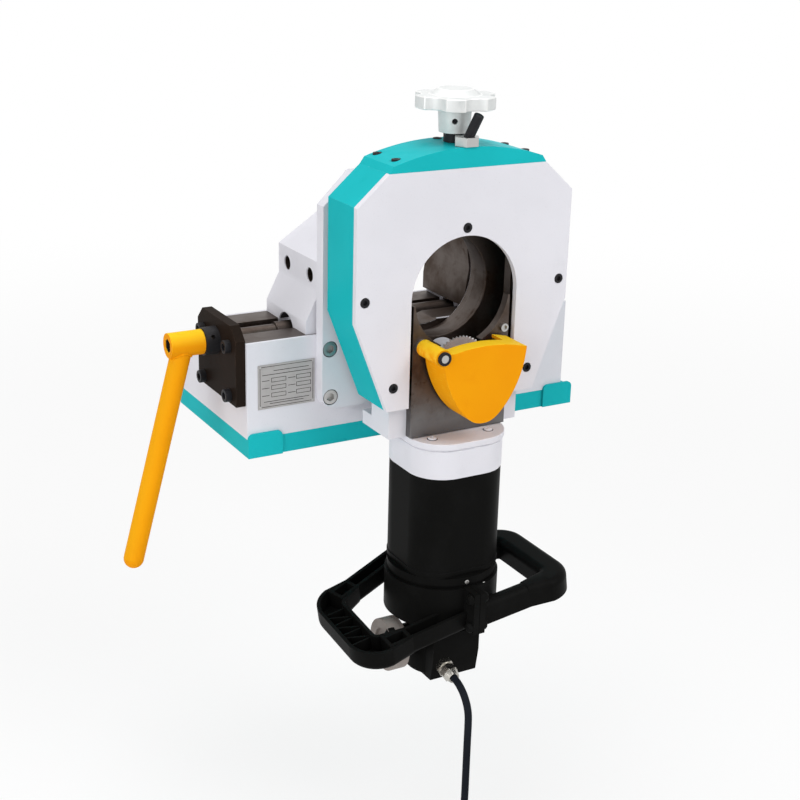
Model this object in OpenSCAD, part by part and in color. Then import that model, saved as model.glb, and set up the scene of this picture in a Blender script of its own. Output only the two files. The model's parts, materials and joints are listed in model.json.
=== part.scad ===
// Orbital pipe cutter: a self-centring vise on a base plate, and a saw head that swings round the pipe.
// Millimetres, +Z up, pipe axis along Y. The origin is the middle of the bolt pattern under the base.

/* [Base plate] */
// Half of the base plate's width
base_hw = 209; // [205:1:230]
// Depth of the base plate
base_d = 192; // [180:1:220]
// Thickness of the base plate
base_t = 21; // [16:1:26]
// Width of a corner pad
pad_w = 40; // [30:1:50]
// Height of a corner pad
pad_h = 27; // [22:1:34]
// How far a corner pad stands out of the plate's edge
pad_out = 3; // [2:0.5:4]
// Radius of a corner pad's upper corners
pad_round = 6; // [2:0.5:8]
// Distance of the bolt holes from the base plate's ends
bolt_in_x = 26; // [19:1:39]
// Distance of the bolt holes from the base plate's front and back
bolt_in_y = 18; // [16:1:36]
// Diameter of the bolt holes in the base plate
bolt_hole_d = 13; // [9:0.5:14]

/* [Vise body] */
// Height of the pipe axis above the underside
axis_h = 178; // [176:1:190]
// Thickness of the vise body's foot
foot_h = 18; // [14:1:24]
// Right end of the vise body from the pipe axis
body_right = 195; // [190:1:200]
// Depth of the vise body's upper block
body_d = 110; // [106:1:116]
// Height of the guide rails' running face
bed_h = 127; // [124:1:129]
// Height of the vise body's low rear part
rear_h = 90; // [70:1:100]
// Width of a guide rail
rail_w = 31; // [26:1:32]
// Thickness of a guide rail
rail_t = 8; // [6:0.5:12]
// Width of the body's wall outside a rail
rail_lip = 4; // [3:0.5:6]
// Depth of the clearance for the pipe in the rails' running face
relief_cut = 4; // [1:0.5:6]
// Thickness of the wall that carries the vise screw's right end
right_wall = 20; // [16:1:26]

/* [Vise screw and crank] */
// Height of the vise screw above the underside
screw_h = 118.5; // [116:0.5:119]
// Radius of the vise screw's plain journals
journal_r = 9; // [8:0.25:9.5]
// Radius of the vise screw's threaded lengths
thread_r = 11; // [10.5:0.25:12]
// Outer radius of the screw's bearing bushes
screw_bush_r = 14; // [12:0.5:16]
// Thickness of the end plate
end_plate_t = 11; // [8:0.5:14]
// Width of the end plate
end_plate_w = 104; // [96:1:108]
// Lower edge of the end plate above the underside
end_plate_low = 58; // [45:1:64]
// Height of the end plate
end_plate_h = 86; // [80:1:92]
// Radius of the end plate's screw heads
end_screw_r = 7; // [5:0.25:8]
// Spacing of the end plate's screws from front to back
end_screw_dy = 70; // [64:1:76]
// Spacing of the end plate's screws in height
end_screw_dz = 54; // [50:1:56]
// Radius of the screw collar
collar_r = 15; // [13:0.5:18]
// Length of the screw collar
collar_l = 16; // [12:0.5:20]
// Radius of the crank's hub
hub_r = 13.5; // [12:0.25:16]
// Length of the crank's hub
hub_l = 38; // [32:0.5:46]
// Radius of the crank's arm
arm_r = 11; // [8:0.25:11.5]
// Length of the crank's arm from the screw axis
arm_l = 255; // [180:1:280]
// Outward lean of the crank's arm
arm_lean = 15; // [8:0.5:20]

/* [Jaws] */
// Half the gap between the jaw faces as shown
jaw_open = 61; // [58:0.5:64]
// Thickness of a jaw insert
insert_t = 7; // [6:0.5:9]
// Depth of the vee in a jaw insert
vee_depth = 4; // [2:0.5:5]
// Outer low face of a jaw from the pipe axis
jaw_out = 138.5; // [132:0.5:145]
// Depth of a jaw
jaw_d = 100; // [92:1:104]
// Height of a jaw's low outer face
jaw_low = 14; // [13:0.5:18]
// Height of a jaw's first slope
jaw_slope = 30; // [24:1:36]
// Run of a jaw's first slope
jaw_step = 15; // [10:0.5:20]
// Height of a jaw's upper outer face
jaw_face = 33; // [28:1:38]
// Rise of a jaw's second slope
jaw_rise = 33; // [26:1:40]
// Radius of the arched screw opening in a jaw
jaw_arch_r = 20; // [16:0.5:21]
// Outer radius of a jaw nut
nut_r = 15; // [14:0.25:16]
// Length of a jaw nut
nut_l = 50; // [40:1:56]
// Radius of the deep holes in a jaw's upper face
jaw_hole_r = 8; // [5:0.25:8.5]

/* [Fixed flange and bearing] */
// Thickness of the fixed flange
flange_t = 15; // [12:0.5:20]
// Half width of the fixed flange
flange_hw = 128.5; // [120:0.5:132]
// Lower edge of the fixed flange below the pipe axis
flange_low = 131; // [126:1:136]
// Height of the fixed flange's sides above the pipe axis
flange_up = 90; // [84:1:100]
// Clear bore for the pipe
bore_r = 57; // [54:0.5:58]
// Bore of the fixed flange
flange_bore_r = 62; // [60:0.5:64]
// Radius of the journal that the head swings on
swing_r = 76; // [72:0.5:78]
// Radius of the journal's shoulder
shoulder_r = 84; // [81:0.5:86]
// Wall of the swing bush
swing_bush_t = 10; // [6:0.5:12]
// Outer radius of the retaining ring
retain_r = 92; // [89:0.5:94]
// Thickness of the retaining ring
retain_t = 4; // [3:0.5:5]
// Radius of the flange's screw heads
flange_screw_r = 8; // [6:0.25:9]

/* [Head] */
// Depth of the saw head with its cover
head_d = 63.4; // [60:0.2:68]
// Gap between the head and the fixed flange
head_gap = 10.6; // [9:0.2:14]
// Thickness of the front cover
cover_t = 7; // [6:0.5:9]
// Wall of the head's shell
shell_t = 8; // [6:0.5:9]
// Thickness of the shell's back wall
back_t = 10; // [8:0.5:12]
// Half width of the head
head_hw = 128.5; // [126:0.5:134]
// Half width of the head's top edge
top_hw = 93; // [88:0.5:98]
// Half width of the head's lower edge
low_hw = 90.3; // [89:0.1:96]
// Head's top above the pipe axis
head_top = 134.3; // [132:0.1:140]
// Upper end of the head's straight sides
side_up = 103; // [96:0.5:108]
// Lower end of the head's straight sides, below the axis
side_low = 16.4; // [8:0.2:24]
// Head's lower edge below the axis
head_low = 115; // [112:0.5:118]
// Half width of the cover's slot
slot_hw = 64; // [62:0.5:65]
// Height of the arched top cap
cap_rise = 21; // [16:0.5:24]
// Height of the cap's steep ends
cap_end = 7; // [4:0.5:9]
// Radius of a cover screw's head
cover_screw_r = 5; // [4:0.25:6]
// Radius of a cap screw's head
cap_screw_r = 4.5; // [3:0.25:5.5]

/* [Feed] */
// Radius of the feed screw
feed_r = 7.5; // [6.5:0.25:8]
// Feed screw behind the cover's front face
feed_y = 34; // [33.5:0.5:35]
// Radius of the feed screw's collar
feed_collar_r = 11; // [10:0.25:11]
// Height of the feed screw's collar
feed_collar_h = 10; // [8:0.5:12]
// Height of the knob's hub
knob_hub_h = 25; // [20:0.5:30]
// Lower radius of the knob's hub
knob_hub_r = 16; // [14:0.5:17]
// Outer radius of the star knob
knob_r = 43; // [36:0.5:46]
// Height of the star knob's rim
knob_h = 13; // [10:0.5:16]
// Lobes of the star knob
knob_lobes = 6; // [5:1:8]
// Radius of the clamp nut over its corners
clamp_r = 13.7; // [12:0.1:13.7]
// Height of the clamp nut
clamp_h = 9; // [8:0.5:12]
// Radius of the clamp lever
lever_r = 5.2; // [4:0.1:6]
// Length of the clamp lever
lever_l = 29; // [24:1:30]
// Clamp nut behind the cover's front face
clamp_y = 9; // [8.5:0.25:9]

/* [Slide] */
// Half width of the slide plate
plate_hw = 59; // [57:0.5:61]
// Thickness of the slide plate
plate_t = 10; // [8:0.5:11]
// Slide plate behind the cover's front face
plate_y = 4; // [3:0.5:5]
// Lower edge of the slide plate below the axis
plate_low = 151; // [146:1:151]
// Half width of the slide frame
frame_hw = 74; // [72:0.5:76]
// Width of a slide frame's side bar
frame_bar = 9; // [7:0.5:10]
// Thickness of the slide frame
frame_t = 12; // [10:0.5:14]
// Lower edge of the frame's bridge above the axis
bridge_z = 92; // [90:0.5:94]
// Height of the frame's bridge
bridge_h = 12; // [10:0.5:12]
// Outer radius of the feed nut
feed_nut_r = 12; // [10.5:0.25:13]
// Width of a slide guide
guide_w = 9; // [7:0.5:10]

/* [Saw] */
// Saw axis below the pipe axis
saw_z = 78; // [76:0.5:82]
// Radius of the saw blade
blade_r = 33; // [28:0.5:34]
// Thickness of the saw blade
blade_t = 2.2; // [1.6:0.1:3]
// Teeth of the saw blade
blade_teeth = 48; // [24:2:72]
// Depth of the saw teeth
tooth_h = 2.4; // [1.4:0.1:3.5]
// Radius of the arbor
arbor_r = 8; // [6.5:0.25:9]
// Radius of the arbor's blade flange
arbor_flange_r = 13; // [11:0.5:15]
// Room round the saw blade in the slide plate
blade_room = 3; // [2:0.25:3.5]
// Radius of the gear head round the arbor
gear_head_r = 20; // [19:0.5:20.5]
// Pitch radius of the bevel pinion
pinion_r = 7; // [6.5:0.25:7.5]
// Pitch radius of the bevel gear
bevel_r = 14; // [13:0.25:14.5]
// Radius of the drive shaft
drive_r = 5; // [4:0.25:5.5]

/* [Guard] */
// Guard's hinge pin from the pipe axis, to the left
guard_pin_x = 48; // [46:0.5:49]
// Guard's hinge pin below the pipe axis
guard_pin_z = 50; // [49:0.5:54]
// Radius of the guard's hinge pin
guard_pin_r = 5; // [4:0.25:6]
// Radius of the guard's hinge barrel
barrel_r = 9; // [8:0.25:10]
// Depth of the guard
guard_d = 40; // [34:1:46]
// Wall of the guard
guard_t = 3.5; // [2.5:0.25:5]
// Radius of the guard's curved sides
guard_side_r = 101.5; // [98:0.5:108]
// Lower tip of the guard below the pipe axis
guard_tip = 128.5; // [122:0.5:132]
// Upper edge of the guard below the pipe axis
guard_top = 47; // [46:0.5:50]

/* [Motor] */
// Motor axis behind the cover's front face
motor_y = 28; // [26:0.5:28.5]
// Half width of the motor body
motor_hw = 55; // [50:0.5:55.5]
// Radius of the motor body's corners
motor_round = 38; // [30:0.5:44]
// How far the end bell's upper flange stands out of the motor
bell_out = 2; // [1:0.25:3]
// Upper face of the end bell below the axis
bell_top = 152; // [152:0.5:156]
// Height of the end bell
bell_h = 41; // [36:0.5:46]
// Length of the motor body
motor_l = 117; // [100:1:130]
// Length of the motor's tail housing
tail_l = 138; // [125:1:145]
// Radius of the tail where the handles clamp it
tail_r = 59.5; // [55:0.5:60]
// Radius of the gear selector
selector_r = 30; // [24:0.5:30]
// Thickness of the gear selector
selector_t = 18; // [12:0.5:20]
// Height of the selector above the tail's lower end
selector_up = 42; // [36:0.5:44]
// Distance of the selector's seat from the motor's axis
selector_out = 54.5; // [53:0.5:57]

/* [Handles] */
// Half width of the handle pair
handle_hw = 124; // [112:1:132]
// Half depth of a handle loop
handle_hd = 60; // [58:0.5:64]
// Width of a handle's grip
grip_w = 32; // [26:0.5:34]
// Width of a handle's two arms
arm_w = 20; // [18:0.5:26]
// Height of a handle's section
grip_h = 26; // [22:0.5:28]
// Rounding of a handle's closed side
grip_round = 9; // [5:0.25:10]
// Bend radius of a handle's corners
grip_bend = 20; // [19:0.5:28]
// Wall of a handle round its open channel
grip_wall = 4; // [3:0.25:5]
// Lean of the right handle, its grip up
right_roll = 8; // [0:0.5:10]
// Lean of the left handle, its grip down
left_roll = 11; // [0:0.5:12]
// Lean of the left handle, its front down
left_pitch = 6.5; // [0:0.5:8]
// Slant of the left handle's back arm towards the front
arm_slant = 18; // [0:0.5:20]
// How much further back the slanted arm starts
slant_out = 20; // [16:0.5:22]
// How much lower the right handle sits on the clamp
right_drop = 7; // [0:0.5:9]
// How much higher the left handle sits on the clamp
left_lift = 5; // [0:0.5:7]
// Height of the handles above the tail's lower end
handle_up = 94; // [88:1:98]
// Height of the clamp band's middle above the handles' own
clamp_lift = 9; // [4:0.5:10]

/* [Cord] */
// Diameter of the power cord
cord_d = 8.4; // [8:0.1:8.6]
// Outer radius of the cord's coil at the tube's middle
coil_r = 54; // [52:0.5:58]
// Step between the loops of the coil
coil_pitch = 9; // [9:0.05:9.4]

/* [Fits] */
// Radial clearance of a running fit
run_fit = 0.08; // [0.04:0.01:0.1]
// Radial clearance of a seat
seat_fit = 0.05; // [0.03:0.01:0.1]
// Gap between faces that slide or turn past each other
side_gap = 0.3; // [0.2:0.05:0.4]
// Radial clearance round a screw
screw_fit = 0.2; // [0.1:0.05:0.4]

/* [Hidden] */
$fn = 48;
eps = 1;

// Places along the pipe axis, front to back
y_front = -base_d / 2;
y_flange = y_front - flange_t;
y_shell_back = y_flange - head_gap;
y_cover = y_shell_back - head_d;
y_shell = y_cover + cover_t;
y_wall = y_shell_back - back_t;
y_ring = y_wall - side_gap;
y_vise = y_front + body_d / 2;
y_plate = y_cover + plate_y;
y_frame = y_plate + plate_t;
y_feed = y_cover + feed_y;
y_motor = y_cover + motor_y;
relief_r = axis_h - bed_h + relief_cut;
y_guard = y_cover - 0.5;

// Heights of the vise
foot_top = base_t + foot_h;
end_plate_mid = bed_h - 6 - end_screw_dz / 2;
keel_w = body_d - 2 * (rail_lip + rail_w);
trough_h = screw_h - jaw_arch_r;
x_plate = -base_hw - end_plate_t;
x_collar = x_plate - side_gap - collar_l;
x_hub = x_collar - side_gap - hub_l;
hex_depth = 12;

// Steps of the head and the slide
cap_hw = top_hw - 5;
cap_arch = cap_rise - cap_end;
cap_r = (cap_hw * cap_hw + cap_arch * cap_arch) / (2 * cap_arch);
cap_top = head_top + cap_rise;
slide_down = 10;
neck_top = 112;
neck_step = 120;
neck_back = 137;
neck_hw = frame_hw + 6;
spigot_front = y_ring;

// Heights of the motor, measured from the pipe axis
bell_low = -bell_top - bell_h;
motor_low = bell_low - motor_l;
tail_low = motor_low - tail_l;
grip_z = tail_low + handle_up;
selector_z = tail_low + selector_up;

head_points = [
    [-low_hw, -head_low], [low_hw, -head_low], [head_hw, -side_low], [head_hw, side_up],
    [top_hw, head_top], [-top_hw, head_top], [-head_hw, side_up], [-head_hw, -side_low]
];
boss_out = 9;
cover_screws_at = [
    [0, slot_hw + 8.3], [118, 6], [-118, 6], [frame_hw + boss_out, -90], [-frame_hw - boss_out, -90]
];
cap_screws_at = [[-77, 17], [-77, 56], [77, 17], [77, 56], [-6, 57]];
// The upper pair of the flange's lower screws sits under the rails
under_rail = bed_h - rail_t - 5 - axis_h;
flange_screw_l = 14;
flange_screws_at = [[119, under_rail], [-119, under_rail], [118, -118], [-118, -118],
    [100, 72], [-100, 72]];

// Cord: gland low on the tail's front, then down to the floor in front, and into the coil
gland_x = -15;
gland_l = 24;
gland_lean = 100;
gland_at = [gland_x, y_motor - 38, tail_low + 20];
cord_route = [
    [-15, -214.8, -253.5], [-15, -221.6, -254.7], [-15, -228.5, -256.7], [-15, -234.8, -260],
    [-15, -240.4, -264.4], [-15, -245, -269.9], [-15, -248.5, -276.2], [-15, -250.6, -283.1],
    [-15, -251.3, -290.2], [-15, -251.3, -318], [-15, -251.3, -350], [-15, -251.3, -382],
    [-15, -251.3, -412], [-15, -253.5, -425.9], [-15, -259.9, -438.5], [-15, -269.8, -448.4],
    [-15, -282.4, -454.8], [-15, -296.3, -457], [-15, -317.3, -457], [-15, -338.3, -457]
];
route_end = cord_route[len(cord_route) - 1];
coil_layers = 4;
layer_turns = 2;
coil_rings = 24;
plug_r = 17.5;

// Corners of a convex outline moved inward by e
function unit(v) = v / norm(v);
function edge_normal(p, i) = let (d = unit(p[(i + 1) % len(p)] - p[i])) [-d[1], d[0]];
function inset(p, e) = [
    for (i = [0 : len(p) - 1])
        let (a = edge_normal(p, (i + len(p) - 1) % len(p)), b = edge_normal(p, i))
            p[i] + e * (a + b) / (1 + a * b)
];

// Moves a piece from the pipe axis to its height over the base
module at_axis() {
    translate([0, 0, axis_h]) children();
}

// Extrudes an outline drawn in x and z, from y0 toward the back
module along_y(y0, length) {
    translate([0, y0 + length, 0]) rotate([90, 0, 0]) linear_extrude(length) children();
}

// Extrudes an outline drawn in y and z, from x0 to the right
module along_x(x0, length) {
    translate([x0, 0, 0]) rotate([90, 0, 90]) linear_extrude(length) children();
}

module rod_y(y0, length, r) {
    translate([0, y0, 0]) rotate([-90, 0, 0]) cylinder(h = length, r = r);
}

module rod_x(x0, length, r) {
    translate([x0, 0, 0]) rotate([0, 90, 0]) cylinder(h = length, r = r);
}

// A block between two opposite corners
module block(a, b) {
    translate(a) cube(b - a);
}

// A rectangle with round upper corners, standing on y = 0 and centred in x
module arched_rect(w, h, r) {
    translate([-w / 2, 0]) square([w, h - r]);
    translate([r - w / 2, 0]) square([w - 2 * r, h]);
    for (side = [-1, 1]) translate([side * (w / 2 - r), h - r]) circle(r);
}

// A socket screw along y, its head toward the front, with its seat at y = 0
module screw_y(head_r, head_h, shank_r, shank_l) {
    difference() {
        union() {
            rod_y(-head_h, head_h, head_r);
            rod_y(-eps, shank_l + eps, shank_r);
        }
        translate([0, -head_h - eps, 0]) rotate([-90, 30, 0])
            cylinder(h = head_h * 0.55 + eps, r = head_r * 0.6, $fn = 6);
    }
}

// Base plate and vise body

module base_plate() {
    color("mediumturquoise") difference() {
        union() {
            block([-base_hw, y_front, 0], [base_hw, -y_front, base_t]);
            for (sx = [-1, 1])
                for (y0 = [y_front - pad_out, -y_front])
                    translate([sx * (base_hw - pad_w / 2), 0, 0])
                        along_y(y0, pad_out) arched_rect(pad_w, pad_h, pad_round);
        }
        for (sx = [-1, 1])
            for (sy = [-1, 1])
                translate([sx * (base_hw - bolt_in_x), sy * (base_d / 2 - bolt_in_y), -eps])
                    cylinder(h = base_t + 2 * eps, d = bolt_hole_d);
    }
}

module vise_profile() {
    polygon([
        [y_front, base_t], [-y_front, base_t], [-y_front, foot_top + 20], [-y_front - 26, rear_h],
        [y_front + body_d, rear_h], [y_front + body_d, bed_h], [y_front, bed_h]
    ]);
}

module vise_body() {
    color("ghostwhite") difference() {
        union() {
            along_x(-base_hw, base_hw + body_right) vise_profile();
            block([body_right - right_wall, y_vise - keel_w / 2 - 18, bed_h - eps],
                [body_right, y_vise + keel_w / 2 + 18, screw_h + screw_bush_r + 10]);
        }
        block([-base_hw - eps, y_vise - keel_w / 2, trough_h],
            [body_right - right_wall, y_vise + keel_w / 2, axis_h]);
        for (sy = [-1, 1]) rail_strip(sy, seat_fit);
        translate([0, y_vise, screw_h]) rod_x(0, body_right + eps, screw_bush_r + seat_fit);
        at_axis() rod_y(y_front - eps, body_d + 2 * eps, relief_r);
        end_screw_holes();
        for (at = flange_screws_at)
            translate([at[0], 0, axis_h + at[1]])
                rod_y(y_front - eps, flange_screw_l + 3, flange_screw_r * 0.5 + screw_fit);
    }
}

// Holes of the end plate's screws; the upper ones run half in the rails
module end_screw_holes() {
    for (sy = [-1, 1], sz = [-1, 1])
        translate([0, y_vise + sy * end_screw_dy / 2, end_plate_mid + sz * end_screw_dz / 2])
            rod_x(x_plate - eps, end_plate_t + 16, end_screw_r * 0.55 + screw_fit);
}

// The bar of a guide rail; grow widens it for its seat in the bed
module rail_strip(sy, grow) {
    mid = y_vise + sy * (keel_w + rail_w) / 2;
    block([-base_hw - grow, mid - rail_w / 2 - grow, bed_h - rail_t - grow],
        [body_right - right_wall + grow, mid + rail_w / 2 + grow, bed_h + (grow > 0 ? eps : 0)]);
}

module guide_rail(sy) {
    color("dimgray") difference() {
        rail_strip(sy, 0);
        at_axis() rod_y(y_front, body_d, relief_r);
        end_screw_holes();
    }
}

module front_rail() {
    guide_rail(-1);
}

module rear_rail() {
    guide_rail(1);
}

plate_h = 49;
plate_thick = 1;

// The plate fills the body's front between its end and the flange
plate_in = 12.5;
plate_gap = 2;

module rating_plate() {
    color("gainsboro") translate([plate_in - base_hw, y_front - plate_thick, foot_top + 14])
        cube([base_hw - flange_hw - plate_in - plate_gap, plate_thick, plate_h]);
}

// End plate, vise screw and crank

module end_plate_outline() {
    half = end_plate_w / 2;
    cut = 14;
    polygon([
        [-half, 0], [half, 0], [half, end_plate_h - cut], [half - cut, end_plate_h],
        [cut - half, end_plate_h], [-half, end_plate_h - cut]
    ]);
}

module end_plate() {
    color([0.13, 0.1, 0.09]) difference() {
        translate([0, y_vise, end_plate_low]) along_x(x_plate, end_plate_t) end_plate_outline();
        translate([0, y_vise, screw_h]) rod_x(x_plate - eps, end_plate_t + 2 * eps, screw_bush_r + seat_fit);
        end_screw_holes();
    }
}

module end_plate_screws() {
    color([0.1, 0.1, 0.1])
        for (sy = [-1, 1], sz = [-1, 1])
            translate([x_plate, y_vise + sy * end_screw_dy / 2, end_plate_mid + sz * end_screw_dz / 2])
                rotate([0, 0, -90]) screw_y(end_screw_r, end_screw_r, end_screw_r * 0.55, end_plate_t + 12);
}

module screw_bush(x0, length) {
    color("darkgoldenrod") translate([0, y_vise, screw_h]) difference() {
        rod_x(x0, length, screw_bush_r);
        rod_x(x0 - eps, length + 2 * eps, journal_r + run_fit);
    }
}

module left_screw_bush() {
    screw_bush(x_plate, end_plate_t);
}

module right_screw_bush() {
    screw_bush(body_right - right_wall, right_wall);
}

module vise_screw() {
    thread_end = jaw_out + 14;
    thread_start = 18;
    color("slategray") translate([0, y_vise, screw_h]) {
        rod_x(x_hub + hex_depth, body_right - x_hub - hex_depth, journal_r);
        for (x0 = [-thread_end, thread_start]) rod_x(x0, thread_end - thread_start, thread_r);
    }
}

module screw_collar() {
    color([0.12, 0.13, 0.15]) translate([0, y_vise, screw_h]) difference() {
        rod_x(x_collar, collar_l, collar_r);
        rod_x(x_collar - eps, collar_l + 2 * eps, journal_r + seat_fit);
        translate([x_collar + collar_l / 2, 0, 0]) rotate([60, 0, 0]) cylinder(h = collar_r + eps, r = 2.5);
    }
}

module crank_hub() {
    color("orange") translate([0, y_vise, screw_h]) difference() {
        rod_x(x_hub, hub_l, hub_r);
        rod_x(x_hub + hex_depth, hub_l, journal_r + seat_fit);
        translate([x_hub - eps, 0, 0]) rotate([0, 90, 0]) cylinder(h = hub_l, r = journal_r - 1, $fn = 6);
    }
}

module crank_arm() {
    color("orange") translate([x_hub + hub_l * 0.45, y_vise, screw_h]) difference() {
        rotate([0, 180 + arm_lean, 0]) {
            cylinder(h = arm_l - arm_r, r = arm_r);
            translate([0, 0, arm_l - arm_r]) sphere(arm_r);
        }
        rod_x(-2 * hub_l, 4 * hub_l, hub_r + seat_fit);
        translate([0, 0, hub_r]) cube([4 * hub_r, 4 * hub_r, 2 * hub_r], center = true);
    }
}

// Jaws: the left one is drawn, the right one is its mirror image

y_jaw = y_vise - jaw_d / 2;
jaw_in = jaw_open + insert_t;
jaw_seat = bed_h + 0.1;
jaw_mid = axis_h + 8;

module jaw_profile() {
    z1 = bed_h + jaw_low;
    z2 = z1 + jaw_slope;
    z3 = z2 + jaw_face;
    polygon([
        [-jaw_in, jaw_seat], [-jaw_in, z3 + jaw_rise], [-jaw_in - 6, z3 + jaw_rise],
        [jaw_step - jaw_out, z3], [jaw_step - jaw_out, z2], [-jaw_out, z1], [-jaw_out, jaw_seat]
    ]);
}

module jaw() {
    color("ghostwhite") difference() {
        union() {
            along_y(y_jaw, jaw_d) jaw_profile();
            block([-jaw_out, y_vise - keel_w / 2 + side_gap, screw_h - nut_r - 2],
                [-jaw_in, y_vise + keel_w / 2 - side_gap, jaw_seat + eps]);
        }
        translate([0, y_vise, screw_h]) {
            rod_x(-jaw_out - eps, jaw_out, nut_r + seat_fit);
            rod_x(-jaw_out - eps, 13, jaw_arch_r);
        }
        for (sy = [-1, 1])
            translate([0, y_vise + sy * jaw_d * 0.28, jaw_mid])
                rod_x(-jaw_out, jaw_step + 26, jaw_hole_r);
    }
}

module jaw_insert() {
    low = 6;
    high = 92;
    tall = high - low;
    z0 = jaw_seat + low;
    color("silver") along_y(y_jaw + 3, jaw_d - 6) polygon([
        [-jaw_in, z0], [-jaw_open, z0], [-jaw_open, axis_h - tall * 0.3], [-jaw_open - vee_depth, axis_h],
        [-jaw_open, axis_h + tall * 0.3], [-jaw_open, z0 + tall], [-jaw_in, z0 + tall]
    ]);
}

module jaw_nut() {
    color("darkgoldenrod") translate([0, y_vise, screw_h]) difference() {
        rod_x(-jaw_in - 4 - nut_l, nut_l, nut_r);
        rod_x(-jaw_out - nut_l, 2 * jaw_out, thread_r + run_fit);
    }
}

module left_jaw() {
    jaw();
}

module left_jaw_insert() {
    jaw_insert();
}

module left_jaw_nut() {
    jaw_nut();
}

module right_jaw() {
    mirror([1, 0, 0]) jaw();
}

module right_jaw_insert() {
    mirror([1, 0, 0]) jaw_insert();
}

module right_jaw_nut() {
    mirror([1, 0, 0]) jaw_nut();
}

// Fixed flange and the bearing that the head swings on

module flange_outline() {
    round_r = 16;
    slope = 34;
    top_z = flange_up + slope;
    polygon([
        [-flange_hw, round_r - flange_low], [flange_hw, round_r - flange_low], [flange_hw, flange_up],
        [flange_hw - slope, top_z], [slope - flange_hw, top_z], [-flange_hw, flange_up]
    ]);
    translate([round_r - flange_hw, -flange_low]) square([2 * (flange_hw - round_r), round_r + eps]);
    for (side = [-1, 1]) translate([side * (flange_hw - round_r), round_r - flange_low]) circle(round_r);
}

module fixed_flange() {
    sink = flange_t * 0.65;
    color("ghostwhite") at_axis() difference() {
        along_y(y_flange, flange_t) flange_outline();
        rod_y(y_flange - eps, flange_t + 2 * eps, flange_bore_r);
        for (at = flange_screws_at)
            translate([at[0], 0, at[1]]) {
                rod_y(y_flange - eps, flange_t + 2 * eps, flange_screw_r * 0.5 + screw_fit);
                rod_y(y_flange - eps, sink + eps, flange_screw_r + 1);
            }
    }
}

module flange_screws() {
    sink = flange_t * 0.65;
    shank = flange_t - sink;
    color("silver") at_axis() for (at = flange_screws_at)
        translate([at[0], y_flange + sink, at[1]])
            screw_y(flange_screw_r, sink - 0.8, flange_screw_r * 0.5,
                at[1] < 0 ? shank + flange_screw_l : shank - 0.5);
}

module swing_journal() {
    color("gray") at_axis() difference() {
        union() {
            rod_y(y_shell_back + side_gap, head_gap - side_gap, shoulder_r);
            rod_y(spigot_front, y_flange - spigot_front, swing_r);
        }
        rod_y(spigot_front - eps, y_flange - spigot_front + 2 * eps, bore_r);
    }
}

module retaining_ring() {
    color("gray") at_axis() difference() {
        rod_y(spigot_front - retain_t, retain_t, retain_r);
        rod_y(spigot_front - retain_t - eps, retain_t + 2 * eps, bore_r);
    }
}

module swing_bush() {
    color("darkgoldenrod") at_axis() difference() {
        rod_y(y_wall, back_t, swing_r + run_fit + swing_bush_t);
        rod_y(y_wall - eps, back_t + 2 * eps, swing_r + run_fit);
    }
}

// Head: shell, cover and cap

module head_shell() {
    inner = inset(head_points, shell_t);
    tongue_t = 6;
    color("lightseagreen") at_axis() difference() {
        union() {
            difference() {
                along_y(y_shell, y_shell_back - y_shell) polygon(head_points);
                along_y(y_shell - eps, y_wall - y_shell + eps) polygon(inner);
                block([-low_hw + shell_t, y_shell - eps, -head_low - eps],
                    [low_hw - shell_t, y_wall, -head_low + shell_t + eps]);
            }
            for (i = [1 : len(cover_screws_at) - 1])
                translate([cover_screws_at[i][0], 0, cover_screws_at[i][1]])
                    rod_y(y_shell, y_wall - y_shell + eps, cover_screw_r + 3);
            block([-8, y_shell, slot_hw + side_gap], [8, y_shell + tongue_t, head_top - shell_t + eps]);
        }
        rod_y(y_wall - eps, back_t + 2 * eps, swing_r + run_fit + swing_bush_t + seat_fit);
        for (at = cover_screws_at)
            translate([at[0], 0, at[1]]) rod_y(y_shell - eps, 16, cover_screw_r * 0.6 + screw_fit);
        translate([0, y_feed, head_top - shell_t - eps]) cylinder(h = shell_t + 2 * eps, r = feed_r + run_fit);
    }
}

stud_r = 5;
stud_foot = 4;
cover_sink = 5;

module front_cover() {
    color("ghostwhite") at_axis() difference() {
        along_y(y_cover, cover_t) difference() {
            polygon(head_points);
            translate([-slot_hw, -head_low - eps]) square([2 * slot_hw, head_low + eps]);
            circle(slot_hw);
        }
        for (at = cover_screws_at)
            translate([at[0], 0, at[1]]) {
                rod_y(y_cover - eps, cover_t + 2 * eps, cover_screw_r * 0.6 + screw_fit);
                rod_y(y_cover - eps, cover_sink + eps, cover_screw_r + 0.4);
            }
    }
}

module cover_screws() {
    color([0.1, 0.1, 0.1]) at_axis() for (at = cover_screws_at)
        translate([at[0], y_cover + cover_sink, at[1]])
            screw_y(cover_screw_r, cover_sink + 0.3, cover_screw_r * 0.6, cover_t - cover_sink + 5.5);
}

// Height of the cap's arched face at x
function cap_z(x) = cap_top - cap_r + sqrt(cap_r * cap_r - x * x);

module top_cap() {
    color("mediumturquoise") at_axis() difference() {
        along_y(y_cover, head_d) intersection() {
            translate([0, cap_top - cap_r]) circle(cap_r, $fn = 96);
            polygon([
                [-top_hw, head_top], [top_hw, head_top], [cap_hw, head_top + cap_end], [cap_hw, cap_top + eps],
                [-cap_hw, cap_top + eps], [-cap_hw, head_top + cap_end]
            ]);
        }
        translate([0, y_feed, head_top - eps]) cylinder(h = cap_rise + 2 * eps, r = feed_r + screw_fit);
        translate([0, y_feed, head_top - eps])
            cylinder(h = thrust_h + 2 * side_gap + eps, r = thrust_r + screw_fit);
        translate([0, y_cover + clamp_y, head_top + stud_foot]) cylinder(h = cap_rise, r = stud_r + seat_fit);
        for (at = cap_screws_at)
            translate([at[0], y_cover + at[1], cap_z(at[0]) - 2]) cylinder(h = 12, r = cap_screw_r + 0.5);
    }
}

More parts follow.
